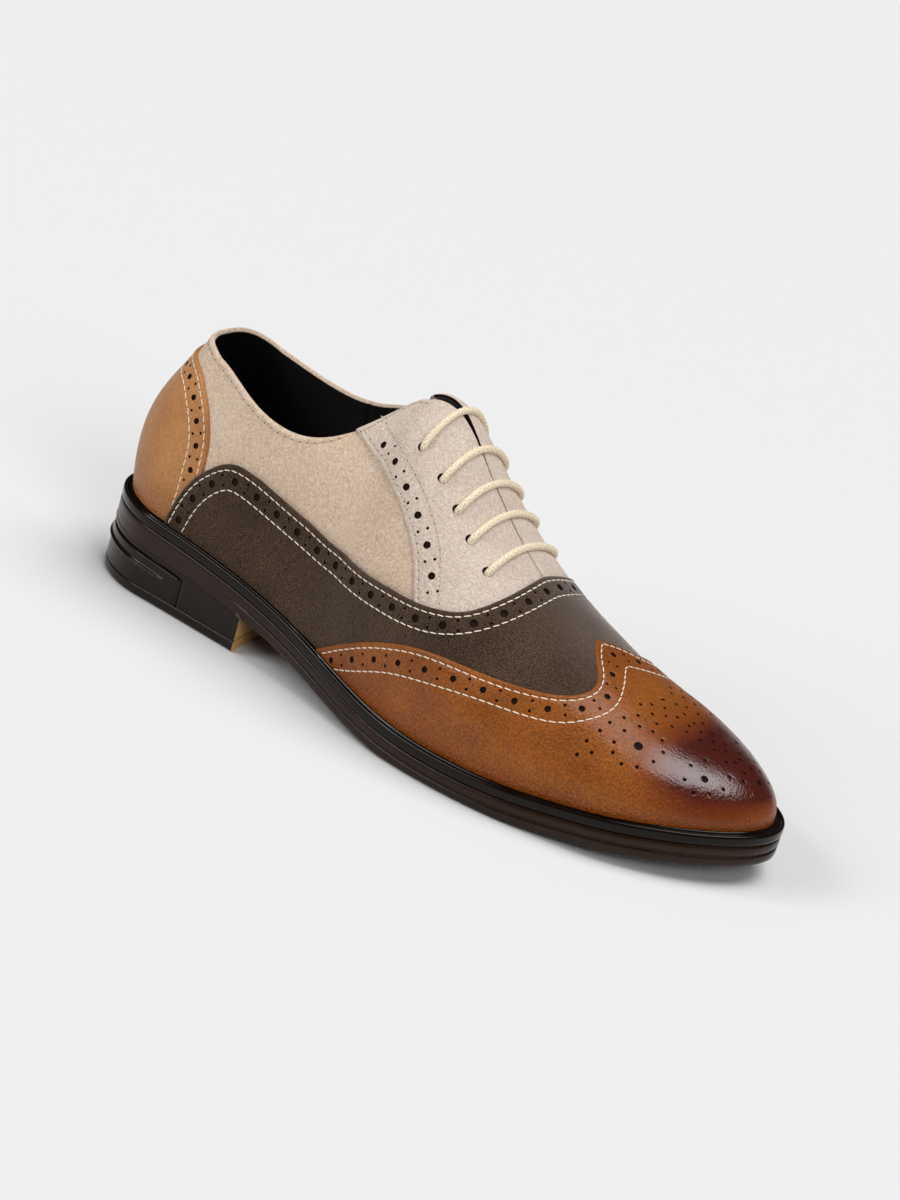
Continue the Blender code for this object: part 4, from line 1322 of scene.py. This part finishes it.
# Half of the toe medallion: millimetres ahead of the fan's centre and across from the crest
MEDALLION_LARGE = table("ahead across radius", (6.7, 24.4, 1.7), (28.4, 17.9, 1.4), (37.4, 0, 1.2))
MEDALLION_SMALL = table(
    "ahead across",
    (-7.7, 38.9),
    (-7.1, 32.8),
    (-5.3, 27.0),
    (-4.4, 22.3),
    (-1.9, 17.4),
    (0.6, 13.2),
    (2.6, 9.1),
    (5.2, 5.5),
    (6.8, 1.9),
    (-3.8, 35.8),
    (-1.4, 8.7),
    (0.6, 5.6),
    (3.3, 2.6),
    (1.0, 0),
    (0.5, 28.0),
    (2.0, 32.0),
    (6.3, 34.5),
    (11.0, 32.5),
    (13.6, 26.5),
    (13.2, 20.2),
    (10.1, 16.0),
    (6.4, 15.3),
    (2.9, 16.8),
    (0.8, 21.8),
    (5.4, 11.4),
    (8.4, 7.6),
    (11.5, 4.8),
    (10.2, 1.5),
    (15.4, 3.7),
    (13.2, 0),
    (17.4, 0),
    (19.8, 3.0),
    (22.0, 0),
    (25.3, 4.5),
    (26.6, 1.5),
    (22.1, 10.5),
    (21.7, 17.0),
    (25.2, 24.4),
    (31.6, 26.4),
    (35.1, 22.1),
    (34.9, 15.4),
    (30.8, 8.9),
    (31.4, 2.4),
    (34.3, 5.8),
    (40.6, 7.3),
)
MEDALLION_HOLE = 0.72


def medallion():
    """Holes of the medallion on both sides of the crest; those on the crest itself are single."""
    small = np.full(len(MEDALLION_SMALL["ahead"]), MEDALLION_HOLE)
    holes = []
    for ahead, across, radius in [*zip(*MEDALLION_LARGE.values()), *zip(*MEDALLION_SMALL.values(), small)]:
        sides = (LATERAL, MEDIAL) if across else (LATERAL,)
        holes += [(np.array([TOE_FAN + ahead, side * across]), radius) for side in sides]
    return holes


def welt_line(start, end, step=1.0):
    """Lateral lower edge of a leather along the welt."""
    station = np.linspace(start, end, max(2, int(abs(end - start) / step)))
    return spread(LATERAL, station, np.full(len(station), FEATHER))


# Dark wax on the toe: middle ahead of the fan's centre, half length, half width, and soft border;
# then the fainter painted shade low along the welt and on the counter
WAX_MIDDLE = 30.0
WAX_LONG = 24.0
WAX_WIDE = 45.0
WAX_BORDER = 1.3, 0.45
WAX_SQUARE = 2.6
WAX_DARK = 0.93
WELT_SHADE = 0.28
WELT_SHADE_LEVEL = 0.16
COUNTER_SHADE = 0.3
COUNTER_SHADE_LEVEL = 0.3
# Painted highlight along a leather's rim: its strength, and the distances from the rim where it ends and
# where it is full
RIM_HIGHLIGHT_STRENGTH = 0.4
RIM_HIGHLIGHT_REACH = 0.75, 0.1


def wax_and_shade(flat, _ground):
    """How dark the leather is: wax all over the top of the toe, and a breath of painted shade along the welt.
    """
    ahead = np.abs(flat[:, 0] - TOE_FAN - WAX_MIDDLE) / WAX_LONG
    across = np.abs(flat[:, 1]) / WAX_WIDE
    dark_mark = WAX_DARK * ease((ahead ** WAX_SQUARE + across ** WAX_SQUARE) ** (1 / WAX_SQUARE), *WAX_BORDER)
    _, _, t = gather(flat)
    return np.maximum(dark_mark, WELT_SHADE * ease(t, WELT_SHADE_LEVEL, 0.0))


def counter_painted_shade(flat, _ground):
    """A breath of painted shade low on the counter, above the welt."""
    return COUNTER_SHADE * ease(flat[:, 1] / GIRTH, COUNTER_SHADE_LEVEL, 0.0)


def painted_rim_highlight(rim):
    """How strong the painted highlight is, close to a leather's rim."""
    def mark(_flat, ground):
        return RIM_HIGHLIGHT_STRENGTH * ease(away_from(ground, rim), *RIM_HIGHLIGHT_REACH)

    return mark


wing_edge = lateral_edge(WING_EDGE)
vamp_edge = lateral_edge(VAMP_EDGE)

# The cap drawn in close round the toe: depth, stations where it begins and is full, and level
TOE_HUG = 1.7
TOE_HUG_RUN = 246.0, 290.0
TOE_HUG_LEVEL = 0.24


def add_wing():
    """Wing cap with its peak on the crest, punched edge and toe medallion."""
    start = WING_EDGE["station"][0]
    toe = welt_line(start, TIP)
    outline = np.concatenate([both_sides(wing_edge[:-1]), (toe * FOREPART.mirror)[1:], toe[-2:0:-1]])
    outline = np.insert(outline, len(wing_edge) - 1, wing_edge[-1], axis=0)
    rim = rim_line(wing_edge)
    first = lateral_part(inset(wing_edge, -FIRST_ROW))
    second = lateral_edge(WING_INNER)
    share = np.linspace(0, 1, len(second))
    along = np.linspace(0, 1, len(wing_edge))
    outer = spots_at(share, along, wing_edge)
    middle = outer + (second - outer) * HOLE_SHARE
    sewn = rim_line(second)

    def lift(flat, ground):
        _, station, t = gather(flat)
        pull = PULL * bell(away_from(ground, sewn), 0, PULL_WIDE)
        relief = turned_edge(away_from(ground, rim), (FIRST_ROW,)) - pull + creases(station, t)
        hug = TOE_HUG * ease(station, *TOE_HUG_RUN) * bell(t, TOE_HUG_LEVEL, TOE_HUG_LEVEL)
        return WING_LIFT + relief - hug

    marks = {"wax_and_shade": wax_and_shade, "painted_rim_highlight": painted_rim_highlight(rim)}
    holes = mirrored(brogue_row(middle[::-1], 0.0, WING_PITCH, WING_HOLE)) + medallion()
    rows = edge_rows(wing_edge, -1, distances=NEAR_ROWS) + edge_rows(second, -1, distances=BESIDE_ROW)
    add_leather("wing_tip", outline, lift, [WING_CALF, HOLE_SHADE], ["wing_cap"], holes,
                rows, WING_MESH, marks)
    sew(both_sides(first), WING_LIFT - PULL, "white")
    sew(both_sides(second), WING_LIFT - PULL, "white")


# Rows along the vamp's edge: distance from it, and points over which the row is smoothed
VAMP_ROWS = (FIRST_ROW, 4), (HOLE_ROW, 8), (SECOND_ROW, 13)


def add_vamp():
    """Nubuck panel from the heel corners over the instep, running on under the wing cap."""
    tucked = lateral_part(inset(wing_edge, -UNDERLAP))
    tucked = np.concatenate([[spread(LATERAL, WING_EDGE["station"][0] + UNDERLAP, FEATHER)], tucked])
    foot_line = welt_line(tucked[0, 0], VAMP_EDGE["station"][0])[1:-1]
    top = np.insert(both_sides(vamp_edge[:-1]), len(vamp_edge) - 1, vamp_edge[-1], axis=0)
    outline = np.concatenate([top, (foot_line * FOREPART.mirror)[::-1], both_sides(tucked)[::-1], foot_line])
    rim = rim_line(vamp_edge)
    wing = rim_line(wing_edge, step=CURVE_STEP)
    first, middle, second = (
        lateral_part(ironed(inset(vamp_edge, -d), reach))
        for d, reach in VAMP_ROWS)

    def lift(_flat, ground):
        sink = (VAMP_LIFT - VAMP_UNDER_WING) * ease(away_from(ground, wing), VAMP_SINK, 0)
        return VAMP_LIFT - sink + turned_edge(away_from(ground, rim))

    holes = mirrored(brogue_row(middle[::-1], VAMP_START, VAMP_PITCH, VAMP_HOLE))
    add_leather("nubuck_vamp", outline, lift, [NUBUCK, HOLE_SHADE], ["vamp_panel"], holes,
                edge_rows(vamp_edge, -1), VAMP_MESH)
    sew(both_sides(first), VAMP_LIFT - PULL, "white")
    sew(both_sides(second), VAMP_LIFT - PULL, "white")


# Station behind which the counter's edge has no punching, and points along its foot
COUNTER_PUNCHED = -11.0
COUNTER_FOOT = 90


def add_counter():
    """Heel counter that rises to the back seam; its lower corners run on under the vamp."""
    sewn = lateral_edge(COUNTER_EDGE, HEELPART)
    foot_line = np.linspace(sewn[0], sewn[0] * HEELPART.mirror, COUNTER_FOOT)[1:-1]
    outline = np.concatenate([both_sides(sewn, HEELPART), foot_line[::-1]])
    rim = rim_line(sewn, HEELPART)
    first, middle, second = (
        lateral_part(inset(sewn, d, HEELPART), HEELPART) for d in (FIRST_ROW, HOLE_ROW, SECOND_ROW))

    def lift(flat, ground):
        _, station, t = gather_heel(flat)
        return COUNTER_LIFT + turned_edge(away_from(ground, rim)) - tucked_under(station, t)

    marks = {"wax_and_shade": counter_painted_shade, "painted_rim_highlight": painted_rim_highlight(rim)}
    punched = middle[gather_heel(middle)[1] > COUNTER_PUNCHED]
    holes = mirrored(brogue_row(punched, COUNTER_START, COUNTER_PITCH, COUNTER_HOLE, HEELPART), HEELPART)
    add_leather("heel_cap", outline, lift, [LIT_COUNTER_CALF, HOLE_SHADE], ["heel_counter"],
                holes, edge_rows(sewn, 1, HEELPART), COUNTER_MESH, marks, HEELPART)
    for row in (first, second):
        for line in (row, row * HEELPART.mirror):
            _, station, t = gather_heel(line)
            sew(line, COUNTER_LIFT - PULL - tucked_under(station, t), "white", HEELPART)


def one_side(side):
    """Pattern of one side alone, which runs on past the topline."""
    def spread_side(_, station, t):
        return np.stack([station, side * (1 - t) * GIRTH], -1)

    def gather_side(flat):
        return np.full(len(flat), side), flat[:, 0], 1 - side * flat[:, 1] / GIRTH

    return Pattern(spread_side, gather_side, FOREPART.mirror)


EYESTAY = one_side(LATERAL)
# Facing: eyelets' step back, level of its wall beside the slit, second stitch row, fold of its front edge,
# points along its top, and where its tucked corner and its topline stitches begin
EYELET_SHY = 0.5
SLIT_WALL = 0.9
FACING_SECOND = 10.2
FRONT_FOLD = 0.3
FACING_TOP = 26
TUCKED_START = 3.0
TOPLINE_START = 2.0


def add_facing(name, side, node):
    """Eyestay from the topline to under the vamp, with its eyelets, punched rear band and stitching."""
    pattern = one_side(side)
    mirror = np.ones(2) if side == LATERAL else FOREPART.mirror
    rear = lateral_edge(FACING_EDGE, EYESTAY)
    foot_start, top_start = FACING_EDGE["station"][[0, -1]]
    meeting = VAMP_EDGE["station"][-1]
    run = np.concatenate([
        np.linspace(top_start, THROAT, FACING_TOP)[1:],
        np.arange(THROAT + 1, meeting + UNDERLAP, 1.0),
    ])
    front = EYESTAY.spread(LATERAL, run, top_edge(side, run, THROAT_GAP))
    tucked = lateral_part(inset(vamp_edge, -UNDERLAP))
    tucked = tucked[(tucked[:, 0] > foot_start + TUCKED_START) & (tucked[:, 0] < run[-1])][::-1]
    rear_rim, front_rim = (
        lay(pace(line, RIM_STEP, EYESTAY) * mirror, 0.0, pattern) for line in (rear, front))
    first, second = (inset(rear, -d, EYESTAY) for d in (FIRST_ROW, FACING_SECOND))

    def lift(flat, ground):
        _, station, t = pattern.gather(flat)
        relief = turned_edge(away_from(ground, rear_rim), soft=SOFT_FOLD)
        relief += turned_edge(away_from(ground, front_rim), (), FRONT_FOLD)
        return FACING_LIFT + relief + throat_pad(station, t) - tucked_under(station, t)

    punched = lateral_edge(FACING_HOLES, EYESTAY, CURVE_STEP)
    eyelets = spread(LATERAL, EYELETS["station"] - EYELET_SHY, EYELETS["t"])
    holes = brogue_row(punched, 0.0, FACING_PITCH, FACING_HOLE, EYESTAY)
    holes += [(spot, EYELET_RADIUS) for spot in eyelets]
    holes = [(spot * mirror, radius) for spot, radius in holes]
    lines = [inset(rear, -d, EYESTAY) * mirror for d in EDGE_ROWS]
    lines += [inset(front, -d, EYESTAY) * mirror for d in NEAR_ROWS]
    outline = np.concatenate([rear, front, tucked]) * mirror

    # Painted shade: the facing's walls beside the slit take the dark hole shade, so that the slit looks dark
    def beside_slit(flat):
        _, station, t = pattern.gather(flat)
        return (station > THROAT - LIP_FADE) & (station < EYELETS["station"][1]) & (t > SLIT_WALL)

    add_leather(name, outline, lift, [FACING_SUEDE, HOLE_SHADE], [node], holes, lines, SUEDE_MESH,
                pattern=pattern, painted_shade_wall=beside_slit)
    topline = inset(front, -TOPLINE_ROW, EYESTAY)
    at = topline[:, 0]
    topline = topline[(at > top_start + TOPLINE_START) & (at < THROAT + LIP_FADE)]
    for row in (first[:-1], second[:-1], topline):
        _, station, t = EYESTAY.gather(row)
        lifts = FACING_LIFT + throat_pad(station, t) - tucked_under(station, t) - PULL * (row is not topline)
        sew(row * mirror, lifts, "beige", pattern)


# Lace

# A bar's climb out of its eyelet, as steps of level and lift, and the level where it lies on the leather
BAR_CLIMB = (0, -3.4), (0, -1.2), (0, 0.4), (0.025, 1.55), (0.065, 1.7), (0.11, 1.55)
BAR_LEVEL = 0.93
# A hidden run's turns: stations from the eyelet, and shares of the way aside
RUN_TURN = 1.6, 5.0
RUN_ASIDE = 0.15, 0.8
# Painted shade between the braid's strands: where it begins and how fast it darkens
STRAND_SHADE_TOP = 0.9
STRAND_SHADE_DARK = 1.3


def bar(row, side):
    """Over the throat from one eyelet to its partner, coming up on the given side."""
    station, t = EYELETS["station"][row], EYELETS["t"][row]
    half = [(t + rise, lift) for rise, lift in BAR_CLIMB] + [(BAR_LEVEL, LACE_OVER)]
    up = [(side, station, level, lift) for level, lift in half]
    down = [(-side, station, level, lift) for level, lift in half[::-1]]
    return up + [(side, station, 1.0, LACE_OVER)] + down


def under(side, start, end, aside):
    """Hidden run inside the facing between two rows, set aside from the eyelets that it passes."""
    a, b = EYELETS["station"][[start, end]]
    t = (EYELETS["t"][start] + EYELETS["t"][end]) / 2
    way = np.sign(b - a)
    near, far = np.multiply(way, RUN_TURN)
    first, second = np.multiply(aside, RUN_ASIDE) + t
    return [
        (side, a + near, first, LACE_UNDER + GAP),
        (side, a + far, second, LACE_UNDER),
        (side, (a + b) / 2, t + aside, LACE_UNDER),
        (side, b - far, second, LACE_UNDER),
        (side, b - near, first, LACE_UNDER + GAP),
    ]


def lace_route():
    """One lace in straight bars: both of its ends stop inside at the top eyelets."""
    return np.array([
        *under(MEDIAL, 1, 0, -LACE_ASIDE)[2:],
        *bar(0, MEDIAL),
        *under(LATERAL, 0, 2, LACE_ASIDE),
        *bar(2, LATERAL),
        *under(MEDIAL, 2, 4, LACE_ASIDE),
        *bar(4, MEDIAL),
        *under(LATERAL, 4, 3, 0)[::2],
        *bar(3, LATERAL),
        *under(MEDIAL, 3, 1, -LACE_ASIDE),
        *bar(1, MEDIAL),
        *under(LATERAL, 1, 0, -LACE_ASIDE)[:3],
    ])


def add_lace():
    """Round braid along the route, with its crossing strands raised."""
    side, station, t, lift = lace_route().T
    lift = lift + throat_pad(station, t) * (lift > 0)
    path = smooth_curve(skin(side, station, t, lift), LACE_STEP)
    way = unit(np.gradient(path, axis=0))
    normal = np.zeros_like(path)
    normal[0] = unit(np.cross(way[0], (0, 0, 1)))
    for i in range(1, len(path)):
        normal[i] = unit(normal[i - 1] - way[i] * (normal[i - 1] @ way[i]))
    across = np.cross(way, normal)
    turn = np.linspace(0, 2 * pi, LACE_SIDES, endpoint=False)
    along = run_length(path)[:, None] * 2 * pi / BRAID_LAY
    weave = np.abs(np.sin(BRAID_STRANDS / 2 * turn + along)), np.abs(np.sin(BRAID_STRANDS / 2 * turn - along))
    strand = np.maximum(*weave)
    radius = LACE_RADIUS * (1 - BRAID_RELIEF + BRAID_RELIEF * strand)
    points = path[:, None] + normal[:, None] * (radius * np.cos(turn))[..., None]
    points = points + across[:, None] * (radius * np.sin(turn))[..., None]
    index = np.arange(len(path) * LACE_SIDES).reshape(len(path), LACE_SIDES).tolist()
    faces = turned_over(face for a, b in zip(index, index[1:]) for face in band(a, b))
    faces += [tuple(index[0]), tuple(reversed(index[-1]))]
    marks = {"strand_shade": np.clip((STRAND_SHADE_TOP - strand) * STRAND_SHADE_DARK, 0, 1).ravel()}
    add_piece("braided_lace", points.reshape(-1, 3), faces, [BRAID], ["lace"], marks=marks)


# Sole

SOLE_RIM = foot("rim", SOLE_STATIONS)
SOLE_MARGIN = foot("margin", SOLE_STATIONS)


def ring(insets, height):
    """Outline of the whole foot: lateral side from the heel back to the toe, then medial side back."""
    insets = np.broadcast_to(insets, SOLE_STATIONS.shape)
    plan = [edge(LATERAL, SOLE_STATIONS, insets), edge(MEDIAL, SOLE_STATIONS, insets)[-2:0:-1]]
    return np.column_stack([np.concatenate(plan), np.concatenate([height, height[-2:0:-1]])])


def strip_cap(start):
    """Faces that close a ring between its lateral and medial points."""
    count = len(SOLE_STATIONS)
    lateral = [start + i for i in range(count)]
    medial = [start] + [start + 2 * count - 2 - i for i in range(1, count - 1)] + [start + count - 1]
    return [tuple(dict.fromkeys(quad)) for quad in strip(lateral, medial)]


def add_rings(name, rings, materials, nodes, closed=False):
    """Rings joined in turn, with the last ring joined to the first or both ends capped."""
    index = ring_numbers(rings)
    faces = [face for a, b in zip(index, index[1:]) for face in band(a, b)]
    kinds = [0] * len(faces)
    if closed:
        faces += band(index[-1], index[0])
        kinds += [0] * len(index[0])
    else:
        bottom, top = strip_cap(0), strip_cap(index[-1][0])
        faces += turned_over(bottom) + top
        kinds += [len(materials) - 1] * len(bottom) + [0] * len(top)
    return add_piece(name, np.concatenate(rings), turned_over(faces), materials, nodes, kinds)


# Section of the welt from its lower inner corner outward and over:
# inset, share of the margin, and height from the rim
WELT_SECTION = table(
    "inset share height",
    (WELT_WIDTH, 1, -WELT_THICK),
    (0.9, 0, -WELT_THICK),
    (0.35, 0, -WELT_THICK + 0.15),
    (0.08, 0, -WELT_THICK + 0.5),
    (0.0, 0, -2.6),
    (0.0, 0, -1.3),
    (0.05, 0, -0.6),
    (0.3, 0, -0.1),
    (0.75, 0, 0.12),
    (1.2, 0, 0.0),
    (1.55, 0, -0.4),
    (1.75, 0, -0.75),
    (2.0, 0, -0.8),
    (-1.5, 1, -0.75),
    (-1.25, 1, -0.3),
    (-0.85, 1, 0.05),
    (-0.4, 1, 0.1),
    (0.1, 1, -0.2),
    (0.6, 1, -0.5),
    (WELT_WIDTH, 1, -0.5),
)


def add_welt():
    """Welt strip with a bead along its lip, a trough, and a second bead against the upper."""
    rings = []
    for inset_by, share, height in zip(*WELT_SECTION.values()):
        rings.append(ring(inset_by + share * SOLE_MARGIN, SOLE_RIM + height))
    add_rings("welt_strip", rings, [WELT_RUBBER], ["welt"], closed=True)


def add_outsole():
    """Outsole with rounded bands, a groove that fades at the heel, and a duller tread face."""
    bottom = np.maximum(SOLE_RIM - SOLE_THICK, 0)
    curve = SEAT_ROUND + (EDGE_ROUND - GAP) * ease(SOLE_STATIONS, *BREAST_BLEND)
    groove = SOLE_RIM - SOLE_GROOVE
    deep = GROOVE * ease(SOLE_STATIONS, *GROOVE_FADE)
    top = SOLE_RIM - WELT_THICK
    middle = (groove + top) / 2
    rings = [
        ring(curve * 2.4, bottom),
        ring(curve, bottom + 0.02),
        ring(curve * 0.55, bottom + curve * 0.16),
        ring(curve * 0.2, bottom + curve * 0.45),
        ring(EDGE_SHY, bottom + curve),
        ring(EDGE_SHY, groove - 1.0),
        ring(EDGE_SHY + deep * 0.25, groove - 0.55),
        ring(EDGE_SHY + deep, groove - 0.3),
        ring(EDGE_SHY + deep, groove + 0.2),
        ring(EDGE_SHY + deep * 0.25, groove + 0.4),
        ring(EDGE_SHY - 0.08, groove + 0.85),
        ring(EDGE_SHY - 0.1, middle),
        ring(EDGE_SHY, top - 0.7),
        ring(EDGE_SHY + 0.25, top - 0.35),
        ring(EDGE_SHY + 0.7, top - 0.12),
        ring(EDGE_SHY + 2.0, top - 0.1),
    ]
    add_rings("sole_bands", rings, [SOLE_RUBBER, TREAD_RUBBER], ["outsole"])


def add_insole():
    """Sock-covered insole, dished towards its middle."""
    core = SOLE_MARGIN + WELT_WIDTH + GAP
    shelf = SOLE_MARGIN + INSOLE_INSET
    top = SOLE_RIM + INSOLE_TOP
    rings = [
        ring(core, SOLE_RIM - WELT_THICK),
        ring(core, SOLE_RIM + GAP),
        ring(shelf, SOLE_RIM + GAP),
        ring(shelf - 0.3, top - 0.4),
        ring(shelf + 0.6, top),
        ring(shelf + 5, top - 0.5),
        ring(shelf + 14, top - 1.2),
    ]
    add_rings("sock_insole", rings, [LINING], ["insole"])


def heel_stations():
    return np.concatenate([np.linspace(BACK, HEEL_FAN, 61), np.arange(HEEL_FAN + 1, BREAST, 1.0), [BREAST]])


BREAST_POINTS = 24


def heel_loop(insets, height):
    """Outline of the heel: lateral corner, round the back, medial corner, hollow breast."""
    station = heel_stations()
    insets = np.broadcast_to(insets, station.shape)
    lateral, medial = edge(LATERAL, station, insets), edge(MEDIAL, station, insets)
    share = np.linspace(0, 1, BREAST_POINTS + 2)[1:-1, None]
    breast = medial[-1] * (1 - share) + lateral[-1] * share
    breast[:, :1] -= BREAST_SAG * 4 * share * (1 - share)
    plan = np.concatenate([lateral[::-1], medial[1:], breast])
    level = np.broadcast_to(height, station.shape)
    across = np.interp(breast[:, 0], station, level)
    return np.column_stack([plan, np.concatenate([level[::-1], level[1:], across])])


def add_heel_rings(name, rings, materials, nodes):
    """Heel rings from the top down, with the breast in the second material."""
    count = len(heel_stations())
    behind = int(np.sum(heel_stations() < BREAST - BREAST_SAG - 1))
    index = ring_numbers(rings)
    faces = []
    kinds = []
    for a, b in zip(index, index[1:]):
        faces += band(a, b)
        kinds += [0] * (2 * count - 2) + [len(materials) - 1] * (BREAST_POINTS + 1)
    for row, flip in ((index[0], 1), (index[-1], -1)):
        lateral = row[count - 1::-1]
        medial = row[count - 1:2 * count - 1]
        cap = [tuple(dict.fromkeys(quad)) for quad in strip(lateral[:behind], medial[:behind])]
        cap.append((*lateral[behind - 1:], *reversed(row[2 * count - 1:]), *reversed(medial[behind - 1:])))
        faces += [face[::-flip] for face in cap]
        kinds += [0] * len(cap)
    return add_piece(name, np.concatenate(rings), faces, materials, nodes, kinds)


HEEL_ROWS = 80
LINE_DEEP = 1.2
LINE_WIDE = 0.45
LINE_DOWN_WIDE = 0.6
LINE_SOFT = 0.3
RIDGE_HIGH = 1.0
RIDGE_WIDE = 0.7


def add_heel():
    """Heel block with a line that turns down to the lift, and a raised ridge round its back."""
    station = heel_stations()
    rim = foot("rim", station)
    top = rim - SOLE_THICK
    rings = []
    for share in np.linspace(0, 1, HEEL_ROWS):
        height = top + (LIFT_THICK + GAP / 2 - top) * share
        below = rim - height
        behind = ease(station, HEEL_PANEL_END + LINE_SOFT, HEEL_PANEL_END - LINE_SOFT)
        lower = ease(below, HEEL_LINE - LINE_SOFT, HEEL_LINE + LINE_SOFT)
        along = bell(below, HEEL_LINE, LINE_WIDE) * behind
        down = bell(station, HEEL_PANEL_END, LINE_DOWN_WIDE) * lower
        ridge = bell(below, HEEL_RIDGE, RIDGE_WIDE) * ease(station, *HEEL_RIDGE_FADE)
        rings.append(heel_loop(EDGE_SHY + LINE_DEEP * np.maximum(along, down) - RIDGE_HIGH * ridge, height))
    add_heel_rings("heel_block", rings, [HEEL_RUBBER, BOARD], ["heel"])


# Section of the top lift from its upper edge down
LIFT_SECTION = table(
    "inset height",
    (0.6, LIFT_THICK),
    (0.22, LIFT_THICK - 0.15),
    (0.05, LIFT_THICK - 0.5),
    (0.05, 1.5),
    (0.25, 0.7),
    (0.7, 0.2),
    (1.3, 0.0),
)


def add_top_lift():
    """Top lift with a softened lower edge and a fine line under the heel block."""
    rings = [heel_loop(*row) for row in zip(*LIFT_SECTION.values())]
    add_heel_rings("heel_lift", rings, [HEEL_RUBBER, BOARD], ["top_lift"])


add_quarters()
add_tongue()
add_insole()
add_facing("eyestay_lateral", LATERAL, "facing_lateral")
add_facing("eyestay_medial", MEDIAL, "facing_medial")
add_counter()
add_vamp()
add_wing()
add_lace()
add_welt()
add_outsole()
add_heel()
add_top_lift()
add_stitches("white_stitches", "white", WHITE_THREAD)
add_stitches("beige_stitches", "beige", BEIGE_THREAD)
add_needle_prick_shade("needle_prick_shade", "beige")


# Stage: pale floor, soft studio light and the photograph's camera

# Half the floor's width, in metres
FLOOR_HALF = 20.0


def add_floor():
    mesh = bpy.data.meshes.new("floor")
    corners = [(x * FLOOR_HALF, y * FLOOR_HALF, 0) for x, y in ((-1, -1), (1, -1), (1, 1), (-1, 1))]
    mesh.from_pydata(corners, [], [(0, 1, 2, 3)])
    material, _ = finish("pale floor", Base_Color=tone("#d5d5d5"), Roughness=0.9, Specular_IOR_Level=0.1)
    mesh.materials.append(material)
    floor = bpy.data.objects.new("floor", mesh)
    bpy.context.collection.objects.link(floor)


def add_light(name, direction, spread_angle, strength, mirrored_in_gloss=True):
    """A far softbox: its direction from the shoe, its width seen from there in degrees, its strength."""
    light = bpy.data.lights.new(name, "SUN")
    light.angle = radians(spread_angle)
    light.energy = strength
    box = bpy.data.objects.new(name, light)
    box.rotation_mode = "QUATERNION"
    box.rotation_quaternion = Vector(direction).to_track_quat("Z", "Y")
    box.visible_glossy = mirrored_in_gloss
    bpy.context.collection.objects.link(box)


def add_world(horizon, zenith):
    """Studio dome, dim on its walls and less dim overhead."""
    world = bpy.data.worlds.new("studio")
    world.use_nodes = True
    direction = add_node(world, "TexCoord", {}, "Generated")
    rise = add_node(world, "SeparateXYZ", {"Vector": direction}, "Z")
    glow = add_node(world, "MapRange", {"Value": rise, "To Min": horizon, "To Max": zenith})
    background = world.node_tree.nodes["Background"]
    background.inputs["Color"].default_value = tone("#f4f4f4")
    world.node_tree.links.new(glow, background.inputs["Strength"])
    bpy.context.scene.world = world


# Camera found from the photograph: angles in degrees, distance and aim in millimetres, frame in its pixels
AZIMUTH = 30.6
ELEVATION = 19.99
ROLL = 16.71
DISTANCE = 1410.0
AIM = np.array([150.0, 0.0, 45.0])
AIM_PIXEL = 458.6, 602.9
PIXELS_PER_MM = 2.73
FRAME = 900, 1200
SENSOR = 36.0


def add_camera():
    a, e, roll = np.radians([AZIMUTH, ELEVATION, ROLL])
    back = np.array([np.sin(a) * np.cos(e), -np.cos(a) * np.cos(e), np.sin(e)])
    right = np.array([np.cos(a), np.sin(a), 0])
    up = np.cross(back, right)
    axes = [right * np.cos(roll) + up * np.sin(roll), up * np.cos(roll) - right * np.sin(roll), back]
    data = bpy.data.cameras.new("camera")
    data.sensor_width = SENSOR
    data.lens = PIXELS_PER_MM * DISTANCE / FRAME[1] * SENSOR
    data.shift_x = (FRAME[0] / 2 - AIM_PIXEL[0]) / FRAME[1]
    data.shift_y = (AIM_PIXEL[1] - FRAME[1] / 2) / FRAME[1]
    camera = bpy.data.objects.new("camera", data)
    place = (AIM + back * DISTANCE - ORIGIN) * MM
    camera.matrix_world = Matrix.Translation(place) @ Matrix(np.array(axes).T.tolist()).to_4x4()
    bpy.context.collection.objects.link(camera)
    bpy.context.scene.camera = camera


add_floor()
add_world(0.02, 0.08)
add_light("ceiling bounce", (0, 0, 1), 150, 0.3, mirrored_in_gloss=False)
add_light("overhead softbox", (0.2, 0.17, 0.96), 44, 2.4)
add_light("right softbox", (0.72, -0.52, 0.52), 26, 1.2, mirrored_in_gloss=False)
add_light("left softbox", (-0.5, -0.75, 0.5), 32, 0.98)
add_light("heel strip light", (-0.6, -0.45, 0.6), 12, 0.4)
add_camera()
bpy.context.scene.view_settings.view_transform = "Standard"
